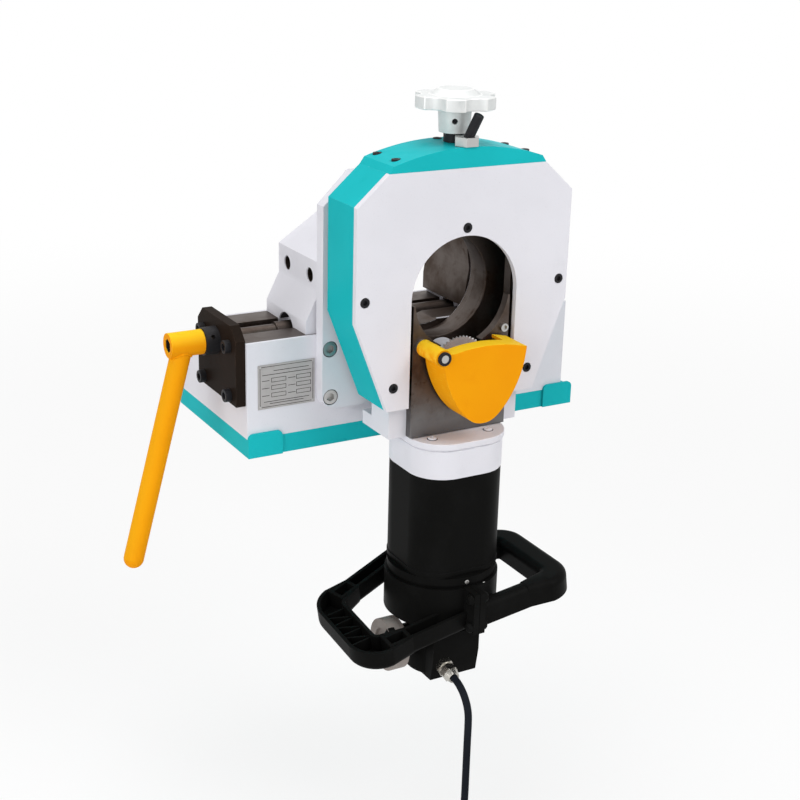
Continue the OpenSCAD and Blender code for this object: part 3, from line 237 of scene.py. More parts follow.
def ramp(value, low, high):
    """0 below low, 1 above high."""
    return value.node("MapRange", {"interpolation_type": "SMOOTHSTEP"},
                      {"Value": value, "From Min": low, "From Max": high})


def stretch(place, x, y, z):
    return place.node("Mapping", {}, {"Vector": place, "Scale": (x, y, z)})


def blend(a, b, amount):
    """Colour a turning into colour b."""
    first, second = (value if isinstance(value, Wire) else (*value, 1) for value in (a, b))
    return amount.node("Mix", {"data_type": "RGBA"}, {0: amount, 6: first, 7: second}, out=2)


def bump(height, depth, strength):
    """A normal that follows a height, so many metres deep."""
    return height.node("Bump", {}, {"Height": height, "Strength": strength, "Distance": depth},
                       out="Normal")


def attribute(place, name):
    """A value that the mesh itself carries."""
    return place.node("Attribute", {"attribute_name": name}, out="Fac")


def finish(shader, place, colour, rough, normal):
    for socket, value in (("Base Color", colour), ("Roughness", rough), ("Normal", normal)):
        place.feed(shader.inputs[socket], value)


print("helpers ready")

# %% [markdown]
# The castings and plates are sprayed with enamel in four colours. Sprayed paint isn't quite flat: it
# has an orange peel a few millimetres across, its gloss drifts, oily hands leave smudges, and the
# corners are rubbed thin. Each rounded edge of a dressed piece carries an attribute, so the rubbed
# patches sit on the edges and nowhere else; they are painted lighter, partly wear and partly a painted
# highlight on the edges. A second attribute says how far a face looks up: the orange is painted
# yellower there, a painted highlight on the upper faces.

# %% Enamel paints
def enamel(slot, colour, shade, rubbed_and_highlight, gloss=0.33, level=0.012, top_highlight=None):
    shader, place = start(slot, coat=0.01, level=level)
    drift = ramp(noise(place, 7.0), 0.3, 0.72)
    smudge = ramp(noise(place, 38.0, 5.0, 0.62), 0.54, 0.78)
    peel = noise(place, 420.0, 1.5)
    grit = ramp(noise(place, 900.0, 2.0), 0.66, 0.74)
    rub_and_highlight = attribute(place, "rub_and_highlight")
    # Lighter patches on the rounded edges: partly wear, partly a painted highlight.
    worn_and_highlight = rub_and_highlight * ramp(noise(place, 130.0, 4.0), 0.42, 0.66)
    tone = blend(colour, shade, drift * 0.55 + smudge * 0.3)
    tone = blend(tone, tuple(0.35 * part for part in shade), grit * 0.16)
    tone = blend(tone, rubbed_and_highlight, worn_and_highlight * 0.75)
    # Painted highlight: faces that look up are painted a lighter, yellower orange.
    if top_highlight:
        tone = blend(tone, top_highlight, attribute(place, "painted_top_highlight"))
    rough = gloss + smudge * 0.14 + drift * 0.05 + worn_and_highlight * 0.1
    finish(shader, place, tone, rough, bump(peel, 0.00010, 0.5))


# Each paint's third colour is for the rounded edges: partly wear, partly a painted highlight.
enamel("teal_paint", (0.014, 0.490, 0.525), (0.011, 0.410, 0.440), (0.14, 0.64, 0.67))
enamel("white_paint", (0.770, 0.765, 0.815), (0.690, 0.685, 0.730), (0.85, 0.84, 0.87),
       gloss=0.40, level=0.07)
# The orange's last colour is its painted highlight on the upper faces.
enamel("orange_paint", (0.900, 0.360, 0.005), (0.830, 0.280, 0.004), (0.95, 0.58, 0.04),
       gloss=0.38, top_highlight=(0.900, 0.560, 0.020))
enamel("black_paint", (0.015, 0.011, 0.009), (0.026, 0.016, 0.011), (0.075, 0.05, 0.038), gloss=0.45)
print("enamels:", len(FINISH))

# %% [markdown]
# Bare steel shows how it was cut. The slide plate and the rails were milled and then live in oil: long
# fine tool marks, brown stains, dull patches. Turned and polished pieces keep a brighter, finer grain.
# The marks are noise that is stretched along one axis, so they need no picture. The slide plate's lower
# end is wiped clean by hands that reach for the blade. The gland is plated and wiped, so its marks are
# shallow; blackened screws are dull and hardly shine.

# %% Steels
def steel(slot, bright, stain, marks, rough, stains, metallic=1.0, wiped=None, depth=0.04 * MM,
          level=0.5):
    shader, place = start(slot, metallic=metallic, level=level)
    lines = noise(stretch(place, *marks), 1.0, 4.0, 0.6)
    cloud = ramp(noise(place, 16.0, 5.0, 0.62), 0.40, 0.70)
    spot = ramp(noise(place, 95.0, 4.0), 0.60, 0.74)
    tone = blend(bright, stain, cloud * stains + spot * stains * 0.5)
    if wiped:
        height = place.node("SeparateXYZ", {}, {0: place}, out="Z")
        below = 1 - ramp(height + cloud * WIPED_DRIFT, WIPED_Z, WIPED_Z + WIPED_FADE)
        tone = blend(tone, wiped, below * 0.7)
    gloss = rough + lines * 0.14 + cloud * 0.10 - 0.05
    finish(shader, place, tone, gloss, bump(lines, depth, 0.6))


WIPED_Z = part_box("slide_plate")[0][2] + 12 * MM
WIPED_DRIFT, WIPED_FADE = 12 * MM, 40 * MM
steel("machined_steel", (0.112, 0.092, 0.082), (0.050, 0.029, 0.018), marks=(9, 9, 700),
      rough=0.40, stains=0.95, wiped=(0.205, 0.208, 0.212))
steel("bright_steel", (0.50, 0.495, 0.485), (0.26, 0.25, 0.24), marks=(60, 60, 900),
      rough=0.28, stains=0.45)
steel("nickel", (0.52, 0.50, 0.46), (0.34, 0.31, 0.27), marks=(80, 80, 80),
      rough=0.24, stains=0.15, depth=0.006 * MM)
steel("bronze", (0.50, 0.32, 0.13), (0.27, 0.15, 0.06), marks=(500, 60, 60),
      rough=0.32, stains=0.6)
steel("black_oxide", (0.020, 0.020, 0.023), (0.038, 0.032, 0.028), marks=(300, 300, 300),
      rough=0.42, stains=0.5, metallic=0.2, level=0.12)
print("steels: 5")

# %% [markdown]
# The blade was ground on a turning table, so its marks are rings round the saw's own axis. The distance
# from that axis drives a wave, and a little noise keeps the rings from looking drawn. Grinding leaves a
# pale, rather matt face, so it is only half a mirror.

# %% Saw blade's ground face
RINGS = 5200.0


def blade_steel():
    shader, place = start("blade_steel", metallic=0.55)
    low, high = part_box("saw_blade")
    middle = tuple((a + b) / 2 for a, b in zip(low, high))
    local = place.node("VectorMath", {"operation": "SUBTRACT"}, {0: place, 1: middle})
    reach = local.node("VectorMath", {"operation": "LENGTH"}, {0: local}, out="Value")
    ring = reach.math("SINE", reach * RINGS) * 0.5 + 0.5
    cloud = ramp(noise(place, 60.0, 4.0), 0.42, 0.7)
    tone = blend((0.80, 0.80, 0.80), (0.52, 0.51, 0.50), cloud * 0.6 + ring * 0.15)
    finish(shader, place, tone, 0.24 + ring * 0.08 + cloud * 0.15, bump(ring, 0.00002, 0.5))


blade_steel()
print("blade: ground rings")

# %% [markdown]
# The star knob and its hub are cast aluminium with a pale, slightly rough skin, and the rating plate is
# brushed sheet. The cast skin is a fine bump with open pores; the brushed sheet has long level strokes.

# %% Aluminium
def cast_aluminium():
    shader, place = start("cast_aluminium", metallic=0.35)
    skin = noise(place, 700.0, 3.0, 0.6)
    pore = ramp(noise(place, 260.0, 3.0), 0.66, 0.75)
    smudge = ramp(noise(place, 45.0, 4.0), 0.46, 0.72)
    rub_and_highlight = attribute(place, "rub_and_highlight")
    tone = blend((0.70, 0.715, 0.71), (0.52, 0.54, 0.54), smudge * 0.55 + pore * 0.4)
    # Lighter rounded edges: partly rubbed bright, partly a painted highlight.
    tone = blend(tone, (0.9, 0.9, 0.89), rub_and_highlight * 0.5)
    finish(shader, place, tone, 0.46 + smudge * 0.12 - rub_and_highlight * 0.1, bump(skin - pore, 0.00010, 0.5))


def plate_aluminium():
    shader, place = start("plate_aluminium", metallic=0.6)
    stroke = noise(stretch(place, 25, 900, 1800), 1.0, 3.0)
    smudge = ramp(noise(place, 70.0, 4.0), 0.45, 0.7)
    tone = blend((0.47, 0.455, 0.45), (0.36, 0.345, 0.34), stroke * 0.5 + smudge * 0.4)
    finish(shader, place, tone, 0.34 + stroke * 0.14, bump(stroke, 0.00002, 0.4))


cast_aluminium()
plate_aluminium()
print("aluminium: 2")

# %% [markdown]
# The motor's housing and the handles are moulded black nylon with a fine spark-eroded grain; it is
# satin, never mirror-bright, and dust greys it a little in patches. Its rounded edges are lighter,
# partly rubbed and partly a painted sheen. The gear selector is the same plastic in grey. The lead is
# soft rubber with a faint sheen.

# %% Plastics and rubber
def moulded(slot, colour, dust_and_sheen, rough, grain):
    shader, place = start(slot, level=0.02)
    texture = noise(place, grain, 2.0, 0.6)
    cloud = ramp(noise(place, 20.0, 5.0), 0.42, 0.75)
    rub_and_highlight = attribute(place, "rub_and_highlight")
    # Lighter in patches from dust, and on the rounded edges: partly rubbed, partly a painted sheen.
    tone = blend(colour, dust_and_sheen, cloud * 0.35 + rub_and_highlight * 0.5)
    finish(shader, place, tone, rough + cloud * 0.1 - rub_and_highlight * 0.06, bump(texture, 0.00006, 0.45))


moulded("black_plastic", (0.0055, 0.0055, 0.0052), (0.013, 0.013, 0.013), 0.38, 900.0)
moulded("selector_grey", (0.34, 0.300, 0.280), (0.25, 0.215, 0.198), 0.45, 900.0)
moulded("black_rubber", (0.012, 0.014, 0.019), (0.027, 0.030, 0.038), 0.48, 1200.0)
lead.data.materials.append(FINISH["black_rubber"])
print("finishes:", sorted(FINISH))

# %% [markdown]
# An operator works on everything that is selected, and by hand one clicks on just the faces that are
# meant. Here two helpers take the place of the clicks: one makes a piece the only one selected, and the
# other picks its faces, edges or points by a test on their place or direction.

# %% Selecting
def only(piece):
    """Makes a piece the one that is selected and active."""
    bpy.ops.object.select_all(action="DESELECT")
    piece.select_set(True)
    bpy.context.view_layer.objects.active = piece


def pick(piece, kind, wanted):
    """Selects the faces, edges or points that pass a test, and no others, and stays in edit mode."""
    bpy.ops.object.mode_set(mode="EDIT")
    bpy.ops.mesh.select_mode(type=kind)
    bpy.ops.mesh.select_all(action="DESELECT")
    bpy.ops.object.mode_set(mode="OBJECT")
    parts = {"FACE": piece.data.polygons, "EDGE": piece.data.edges, "VERT": piece.data.vertices}
    for part in parts[kind]:
        part.select = wanted(part)
    bpy.ops.object.mode_set(mode="EDIT")


print("selection helpers ready")

# %% [markdown]
# The guard is a deep shell over the blade. Its upper edge is arched and its tip is broad and round. On
# a straight edge there are no points to lift, so the shell is first cut across ten times; then the
# points of the roof follow an arch, and those near the tip are smoothed and spread. Flat faces that
# the cuts left in strips are joined again.

# %% Guard's form
ROOF_Z, ROOF_T, ROOF_SLACK = 131 * MM, 4.2 * MM, 0.1 * MM
ROOF_X0, ROOF_X1 = -34 * MM, 53.5 * MM
ROOF_ARCH, ROOF_FALL = 20.8 * MM, 3 * MM
ROOF_CUTS = 10
TIP_H, TIP_WIDER, TIP_FADE = 18 * MM, 0.26, 12 * MM


def shape_guard(skin):
    """Draws the guard's lowest points into a broad round tip, and arches its upper edge."""
    low = min(point.co.z for point in skin.data.vertices)
    pick(skin, "VERT", lambda point: point.co.z < low + TIP_H)
    bpy.ops.mesh.vertices_smooth(factor=0.5, repeat=10, xaxis=True, yaxis=False, zaxis=True)
    for i in range(ROOF_CUTS):
        bpy.ops.mesh.select_all(action="SELECT")
        cut = ROOF_X0 + (ROOF_X1 - ROOF_X0) * i / ROOF_CUTS
        bpy.ops.mesh.bisect(plane_co=(cut, 0, 0), plane_no=(1, 0, 0))
    bpy.ops.object.mode_set(mode="OBJECT")
    tip = min((point.co for point in skin.data.vertices), key=lambda place: place.z).copy()
    for point in skin.data.vertices:
        point.co.x += (point.co.x - tip.x) * TIP_WIDER * exp((tip.z - point.co.z) / TIP_FADE)
        run = (point.co.x - ROOF_X0) / (ROOF_X1 - ROOF_X0)
        if run > 0 and ROOF_Z - ROOF_T < point.co.z < ROOF_Z + ROOF_SLACK:
            point.co.z += ROOF_ARCH * run * (1 - run) - ROOF_FALL * run
    bpy.ops.object.mode_set(mode="EDIT")
    bpy.ops.mesh.select_all(action="SELECT")
    bpy.ops.mesh.dissolve_limited(angle_limit=radians(0.4))
    bpy.ops.object.mode_set(mode="OBJECT")


print("guard's roof: %.1f mm long" % ((ROOF_X1 - ROOF_X0) / MM))

# %% [markdown]
# A real part has no razor edges: castings are rounded, plates are filed, plastic has radii. The CAD mesh
# of a node is loose triangles, so each visible node gets a skin: a copy whose doubles are merged and
# flat triangles joined, and whose sharp edges are then bevelled. The new narrow faces are still
# selected after the bevel, which is the moment to mark them for the wear and the painted highlight on
# the edges.

# %% Dressing a node
STRIP_SLACK = 1.1
EDGE_STEPS, SHARP = 2, radians(32)


def mark_rub_and_highlight(piece, edge):
    """Marks the bevel's own strips, for wear and a painted highlight: selected faces no wider than the
    bevel.
    """
    def is_strip(face):
        corners = [piece.data.vertices[i].co for i in face.vertices]
        longest = max((a - b).length for a, b in zip(corners, corners[1:] + corners[:1]))
        return face.select and face.area < longest * edge * MM * STRIP_SLACK

    rub_and_highlight = piece.data.attributes.new("rub_and_highlight", "FLOAT", "FACE")
    rub_and_highlight.data.foreach_set("value", [1.0 if is_strip(face) else 0.0 for face in piece.data.polygons])


def dress(node, edge):
    """A skin over a node, with edges rounded by so many millimetres, in the node's finish."""
    skin = bpy.data.objects.new(node + "_skin", frame["nodes"][node].data.copy())
    bpy.context.scene.collection.objects.link(skin)
    only(skin)
    bpy.ops.mesh.customdata_custom_splitnormals_clear()
    bpy.ops.object.mode_set(mode="EDIT")
    bpy.ops.mesh.select_mode(type="EDGE")
    bpy.ops.mesh.select_all(action="SELECT")
    bpy.ops.mesh.remove_doubles(threshold=0.01 * MM)
    bpy.ops.mesh.dissolve_limited(angle_limit=radians(0.6))
    bpy.ops.object.mode_set(mode="OBJECT")
    if node == "guard":
        shape_guard(skin)
    bpy.ops.object.mode_set(mode="EDIT")
    bpy.ops.mesh.select_all(action="DESELECT")
    bpy.ops.mesh.edges_select_sharp(sharpness=SHARP)
    bpy.ops.mesh.bevel(offset=edge * MM, segments=EDGE_STEPS, affect="EDGES", clamp_overlap=True)
    bpy.ops.object.mode_set(mode="OBJECT")
    mark_rub_and_highlight(skin, edge)
    bpy.ops.object.shade_smooth_by_angle(angle=SHARP)
    bpy.ops.object.modifier_add(type="WEIGHTED_NORMAL")
    bpy.ops.object.modifier_apply(modifier=skin.modifiers[0].name)
    # How far each corner looks up, kept for the painted highlight on upper faces.
    painted_top_highlight = skin.data.attributes.new("painted_top_highlight", "FLOAT", "CORNER")
    painted_top_highlight.data.foreach_set("value", [max(0.0, corner.vector.z) for corner in skin.data.corner_normals])
    skin.data.materials.clear()
    skin.data.materials.append(FINISH[SLOT[node]])
    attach(skin, BODY[node])
    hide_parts(node)
    return skin


for node, piece in frame["nodes"].items():
    piece.data.materials.clear()
    piece.data.materials.append(FINISH[SLOT[node]])

# How far each node's edges are rounded, in millimetres.
EDGES = {
    "base_plate": 0.8, "vise_body": 1.2, "front_rail": 0.4, "rear_rail": 0.4, "end_plate": 0.8,
    "fixed_flange": 1.2, "left_jaw": 1.0, "right_jaw": 1.0, "left_jaw_insert": 0.4, "right_jaw_insert": 0.4,
    "head_shell": 0.8, "front_cover": 0.8, "top_cap": 1.0, "slide_plate": 0.5, "gear_case": 1.0,
    "end_bell": 1.0, "motor_body": 0.6, "motor_tail": 1.0, "left_handle": 0.6, "right_handle": 0.6,
    "guard": 1.4, "crank_hub": 0.8, "crank_arm": 0.5, "screw_collar": 0.6, "star_knob": 2.2,
    "knob_hub": 0.8, "feed_collar": 0.6, "clamp_nut": 0.7, "clamp_lever": 1.0, "gear_selector": 0.8,
    "cable_gland": 0.4, "guard_pin": 0.5, "blade_nut": 0.4, "swing_journal": 0.5, "retaining_ring": 0.4,
    "end_plate_screws": 0.5, "flange_screws": 0.5, "cover_screws": 0.35, "cap_screws": 0.35,
}
SKIN = {node: dress(node, edge) for node, edge in EDGES.items()}
print("dressed:", len(SKIN), "triangles:", sum(len(s.data.loop_triangles) for s in SKIN.values()))

# %% [markdown]
# The small trim comes next. A piece is modelled at the origin with its axis upright, because that is
# where it is easiest to shape, and copies of it are then turned and moved to their places. The place is
# applied to the mesh, so each finished piece sits at the origin as the solids do.

# %% Placing the trim
def register(piece, name, slot, body):
    only(piece)
    bpy.ops.object.transform_apply(location=True, rotation=True, scale=True)
    bpy.ops.object.shade_smooth_by_angle(angle=radians(35))
    piece.name = name
    piece.data.name = name
    piece.data.materials.clear()
    piece.data.materials.append(FINISH[slot])
    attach(piece, body)
    return piece


def copy_to(model, place, up=(0, 0, 1)):
    """A copy of a model with its own mesh, moved to a place with its z axis turned to up."""
    twin = bpy.data.objects.new(model.name, model.data.copy())
    bpy.context.scene.collection.objects.link(twin)
    turn = Vector(up).to_track_quat("Z", "Y").to_matrix().to_4x4()
    twin.matrix_world = Matrix.Translation(place) @ turn
    return twin


print("trim helpers ready")

# %% [markdown]
# The rating plate is a thin sheet with printed boxes, held by four little rivets. Here every box stays
# blank. A printed frame is a rectangle whose middle is inset and taken out, given the thickness of a
# coat of ink; the rivet is a short cylinder with its upper edge rounded into a dome. Each frame is
# modelled in its place and the frames are joined into one piece; the rivet is modelled once and
# copied, and each copy keeps a mesh of its own.

# %% Rating plate
FRONT = (0, -1, 0)
INK_LINE, INK = 0.5 * MM, 0.08 * MM
RIVET_R, RIVET_H, RIVET_INSET, RIVET_DOME = 1.1 * MM, 0.8 * MM, 2.6 * MM, 0.8
# The middle (x, z), width and height of each printed box or line, as shares of the plate.
PRINT = [(0.5, 0.5, 0.94, 0.92)]
PRINT += [(x, z, 0.26, 0.10) for x in (0.36, 0.80) for z in (0.64, 0.47, 0.30)]
PRINT += [(x, z, 0.13, 0.012) for x in (0.13, 0.59) for z in (0.64, 0.47, 0.30)]
PRINT += [(0.58, 0.85, 0.62, 0.012), (0.5, 0.77, 0.86, 0.012)]
PRINT += [(0.5, 0.16, 0.80, 0.012), (0.5, 0.11, 0.60, 0.012)]


def printed_frame(width, height):
    """A frame of ink that lies in x and z and faces the front; a thin one is a line."""
    bpy.ops.mesh.primitive_plane_add(size=1, rotation=(pi / 2, 0, 0))
    frame_piece = bpy.context.object
    frame_piece.scale = (width, height, 1)
    bpy.ops.object.transform_apply(location=True, rotation=True, scale=True)
    bpy.ops.object.mode_set(mode="EDIT")
    bpy.ops.mesh.select_all(action="SELECT")
    if min(width, height) > 3 * INK_LINE:
        bpy.ops.mesh.inset(thickness=INK_LINE)
        bpy.ops.mesh.delete(type="FACE")
        bpy.ops.mesh.select_all(action="SELECT")
    bpy.ops.mesh.extrude_region_move(TRANSFORM_OT_translate={"value": (0, -INK, 0)})
    bpy.ops.mesh.select_all(action="SELECT")
    bpy.ops.mesh.normals_make_consistent(inside=False)
    bpy.ops.object.mode_set(mode="OBJECT")
    return frame_piece


def plate_print():
    low, high = (Vector(corner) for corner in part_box("rating_plate"))
    wide, tall = high.x - low.x, high.z - low.z
    made = []
    for x, z, width, height in PRINT:
        box = printed_frame(width * wide, height * tall)
        box.location = (low.x + x * wide, low.y, low.z + z * tall)
        made.append(box)
    only(made[0])
    for box in made:
        box.select_set(True)
    bpy.ops.object.join()
    return register(made[0], "plate_print", "black_paint", BODY["rating_plate"])


def dome_rivet(radius, height):
    bpy.ops.mesh.primitive_cylinder_add(vertices=24, radius=radius, depth=height,
                                        location=(0, 0, height / 2))
    rivet = bpy.context.object
    bpy.ops.object.transform_apply(location=True)
    pick(rivet, "FACE", lambda face: face.normal.z > 0.9)
    bpy.ops.mesh.bevel(offset=height * RIVET_DOME, segments=4, affect="EDGES")
    bpy.ops.object.mode_set(mode="OBJECT")
    return rivet


def plate_rivets():
    low, high = (Vector(corner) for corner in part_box("rating_plate"))
    model = dome_rivet(RIVET_R, RIVET_H)
    corners = [(x, z) for x in (low.x + RIVET_INSET, high.x - RIVET_INSET)
               for z in (low.z + RIVET_INSET, high.z - RIVET_INSET)]
    for i, (x, z) in enumerate(corners, 1):
        rivet = copy_to(model, (x, low.y, z), FRONT)
        register(rivet, "plate_rivet_%d" % i, "bright_steel", BODY["rating_plate"])
    bpy.data.objects.remove(model)
    return len(corners)


print("plate print:", len(plate_print().data.polygons), "faces,", plate_rivets(), "rivets")

# %% [markdown]
# Button-head screws hold the end bell's flange, each with a thin dark ring round its head, and two small
# bright ones hold the motor's tail. A head is turned with a domed edge, and its socket is pressed in: on
# the model the dome is a bevel, and then the top face is inset and its inner part is pushed down.

# %% Small screws
DOME, SOCKET_DEEP = 0.55, 0.6
# A screw's three sizes are the radius and height of its head and the radius of its socket.
BELL_SCREW, BELL_DARK_RING = (4.8 * MM, 2.2 * MM, 1.5 * MM), (5.7 * MM, 0.35 * MM)
BELL_SCREWS = ((-36.7, -189.5), (32.2, -191.3))
TAIL_SCREW = (2.6 * MM, 1.6 * MM, 0.9 * MM)
TAIL_SCREWS = ((-4, -137), (20, -146))


def button_screw(radius, height, socket):
    bpy.ops.mesh.primitive_cylinder_add(vertices=36, radius=radius, depth=height,
                                        location=(0, 0, height / 2))
    screw = bpy.context.object
    bpy.ops.object.transform_apply(location=True)
    pick(screw, "FACE", lambda face: face.normal.z > 0.9)
    bpy.ops.mesh.bevel(offset=height * DOME, segments=4, affect="EDGES")
    bpy.ops.object.mode_set(mode="OBJECT")
    pick(screw, "FACE", lambda face: face.normal.z > 0.999)
    bpy.ops.mesh.inset(thickness=radius - height * DOME - socket)
    bpy.ops.mesh.extrude_region_move(TRANSFORM_OT_translate={"value": (0, 0, -height * SOCKET_DEEP)})
    bpy.ops.object.mode_set(mode="OBJECT")
    return screw


def small_screws():
    """Screws with a dark ring round each head on the end bell, and screws on the round of the motor's tail.
    """
    bell, dark_ring = button_screw(*BELL_SCREW), dome_rivet(*BELL_DARK_RING)
    body, top = BODY["end_bell"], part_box("end_bell")[1][2]
    for i, (x, y) in enumerate(BELL_SCREWS, 1):
        place = (x * MM, y * MM, top)
        # A thin dark ring round each head.
        register(copy_to(dark_ring, place), "bell_dark_ring_%d" % i, "black_oxide", body)
        register(copy_to(bell, place), "bell_screw_%d" % i, "white_paint", body)
    tail = button_screw(*TAIL_SCREW)
    middle_y = sum(corner[1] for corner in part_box("motor_body")) / 2
    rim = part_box("motor_tail")[1][1] - middle_y
    for i, (x, z) in enumerate(TAIL_SCREWS, 1):
        out = Vector((x * MM, -(rim ** 2 - (x * MM) ** 2) ** 0.5, 0))
        place = Vector((0, middle_y, z * MM)) + out
        register(copy_to(tail, place, out), "tail_screw_%d" % i, "bright_steel", BODY["motor_tail"])
    for model in (bell, dark_ring, tail):
        bpy.data.objects.remove(model)


small_screws()
print("small screws:", len(BELL_SCREWS) + len(TAIL_SCREWS))

# %% [markdown]
# Holes are bored after painting, so their walls are bare. Each gets a thin lining, an open cylinder
# made solid, and some linings are cut off where the hole runs out of the metal. The linings of the
# jaws' holes, of the arches over the vise screw and of the crank's socket are dark: painted shade deep
# in these holes. Bigger button screws sit deep in the jaws' holes, and their dark heads add to the
# painted shade.

# %% Bored holes
JAW_SCREW = (6.4 * MM, 5 * MM, 2.6 * MM)
JAW_HOLES = ((-69, 186), (-13, 186))
JAW_HOLE_R, JAW_HOLE_IN, JAW_HOLE_OUT = 8 * MM, 97.5 * MM, 122 * MM
ARCH_R, ARCH_IN, ARCH_L, NUT_ROOM = 20 * MM, 125.5 * MM, 11.2 * MM, 15.6 * MM
VISE_SCREW, JAW_SEAT_Z = Vector((0, -41, 118.5)) * MM, 127.4 * MM
JAWS = ((-1, "left_jaw"), (1, "right_jaw"))
FLANGE_SCREWS = ((119, -64), (-119, -64), (118, -118), (-118, -118), (100, 72), (-100, 72))
FLANGE_FRONT, FLANGE_BACK, FLANGE_BORE_R, FLANGE_EDGE = -111 * MM, -96 * MM, 62 * MM, 1.2 * MM
SINK_R, SINK_L, SINK_DEEP = 9 * MM, 7 * MM, 8.6 * MM
PIPE_AXIS_Z = 178 * MM
BODY_FRONT, RELIEF_R, RELIEF_BED, RELIEF_L = -96 * MM, 55 * MM, 51.1 * MM, 3.2 * MM
CRANK_SOCKET, CRANK_SOCKET_R, CRANK_SOCKET_L = Vector((-262.6, -41, 118.5)) * MM, 8 * MM, 11 * MM
LINING, THICK_LINING, SEAT_LINING, SINK_LINING = 0.4 * MM, 0.6 * MM, 0.3 * MM, 0.85 * MM
JAW_LINING, WALL_GAP, SKIM = 0.5 * MM, 0.05 * MM, 0.02 * MM


def bored_wall(radius, depth, thick, points=48, left_out=None):
    """The thin wall that lines a hole, along z from its bottom; left_out picks faces to go without."""
    bpy.ops.mesh.primitive_cylinder_add(vertices=points, radius=radius - WALL_GAP, depth=depth,
                                        end_fill_type="NOTHING", location=(0, 0, depth / 2))
    wall = bpy.context.object
    bpy.ops.object.transform_apply(location=True)
    if left_out:
        pick(wall, "FACE", left_out)
        bpy.ops.mesh.delete(type="FACE")
        bpy.ops.object.mode_set(mode="OBJECT")
    bpy.ops.object.modifier_add(type="SOLIDIFY")
    wall.modifiers[0].thickness = thick
    bpy.ops.object.modifier_apply(modifier=wall.modifiers[0].name)
    return wall


def cut_off(wall, level, **side):
    """Cuts a wall at a level of its y axis, clears one side and closes the cut."""
    only(wall)
    pick(wall, "FACE", lambda face: True)
    bpy.ops.mesh.bisect(plane_co=(0, level, 0), plane_no=(0, 1, 0), use_fill=True, **side)
    bpy.ops.object.mode_set(mode="OBJECT")


def flange_holes():
    """The flange's bore, the bed's relief and seat behind it, and a dark ring round each screw head."""
    flange, bed = BODY["fixed_flange"], BODY["vise_body"]
    bore = bored_wall(FLANGE_BORE_R, FLANGE_BACK - FLANGE_FRONT - 2 * FLANGE_EDGE, THICK_LINING, 128)
    place = Vector((0, FLANGE_BACK - FLANGE_EDGE, PIPE_AXIS_Z))
    register(copy_to(bore, place, FRONT), "flange_bore", "machined_steel", flange)
    ring = bored_wall(SINK_R, SINK_L, SINK_LINING)
    for i, (x, z) in enumerate(FLANGE_SCREWS, 1):
        place = Vector((x * MM, FLANGE_FRONT + SINK_DEEP, PIPE_AXIS_Z + z * MM))
        register(copy_to(ring, place, FRONT), "flange_screw_ring_%d" % i, "black_oxide", flange)
    relief = bored_wall(RELIEF_R, RELIEF_L, LINING, 180, lambda face: face.center.y > -RELIEF_BED)
    place = Vector((0, BODY_FRONT + RELIEF_L + SEAT_LINING, PIPE_AXIS_Z))
    register(copy_to(relief, place, FRONT), "bed_relief", "machined_steel", bed)
    seat = bored_wall(FLANGE_BORE_R, SEAT_LINING, FLANGE_BORE_R - RELIEF_R, 180)
    cut_off(seat, -RELIEF_BED, clear_outer=True)
    place = Vector((0, BODY_FRONT - SKIM, PIPE_AXIS_Z))
    register(copy_to(seat, place, FRONT), "bed_seat", "machined_steel", bed)
    for model in (bore, ring, relief, seat):
        bpy.data.objects.remove(model)


def crank_socket():
    # A black lining in the hub's socket: painted shade deep in the hole.
    wall = bored_wall(CRANK_SOCKET_R, CRANK_SOCKET_L, LINING, 6)
    register(copy_to(wall, CRANK_SOCKET, (-1, 0, 0)), "crank_socket", "black_oxide", BODY["crank_hub"])
    bpy.data.objects.remove(wall)


def jaw_holes():
    # The dark screw heads and the bare-steel linings, dark as well, paint the shade deep in each hole.
    screw = button_screw(*JAW_SCREW)
    wall = bored_wall(JAW_HOLE_R, JAW_HOLE_OUT - JAW_HOLE_IN, JAW_LINING)
    for side, jaw in JAWS:
        for i, (y, z) in enumerate(JAW_HOLES, 1):
            place, out = (side * JAW_HOLE_IN, y * MM, z * MM), (side, 0, 0)
            register(copy_to(screw, place, out), "%s_screw_%d" % (jaw, i), "black_oxide", BODY[jaw])
            register(copy_to(wall, place, out), "%s_bore_%d" % (jaw, i), "machined_steel", BODY[jaw])
    for model in (screw, wall):
        bpy.data.objects.remove(model)


def screw_arch():
    """A dark lining of the arch over the vise screw in each jaw, painted shade: its wall and back, to the
    rails.
    """
    wall = bored_wall(ARCH_R, ARCH_L, LINING, 96)
    back = bored_wall(ARCH_R, SEAT_LINING, ARCH_R - NUT_ROOM, 96)
    for model in (wall, back):
        cut_off(model, JAW_SEAT_Z - VISE_SCREW.z, clear_inner=True)
    for side, jaw in JAWS:
        place = VISE_SCREW + Vector((side * (ARCH_IN + SKIM), 0, 0))
        register(copy_to(wall, place, (side, 0, 0)), jaw + "_arch", "black_oxide", BODY[jaw])
        register(copy_to(back, place, (side, 0, 0)), jaw + "_arch_back", "black_oxide", BODY[jaw])
    for model in (wall, back):
        bpy.data.objects.remove(model)


screw_arch()
flange_holes()
crank_socket()
jaw_holes()
print("jaw holes:", len(JAWS) * len(JAW_HOLES), "flange rings:", len(FLANGE_SCREWS))

# %% [markdown]
# Each handle's arms are narrower than its grip, and a moulded hollow taper joins the two at the corners.
# One taper is a block: its upper edges are rounded like the grip's, its far end is drawn in to the
# arm's width, and its open side is inset and pushed in. The four copies are placed by the same turns
# that set the handles on the motor.

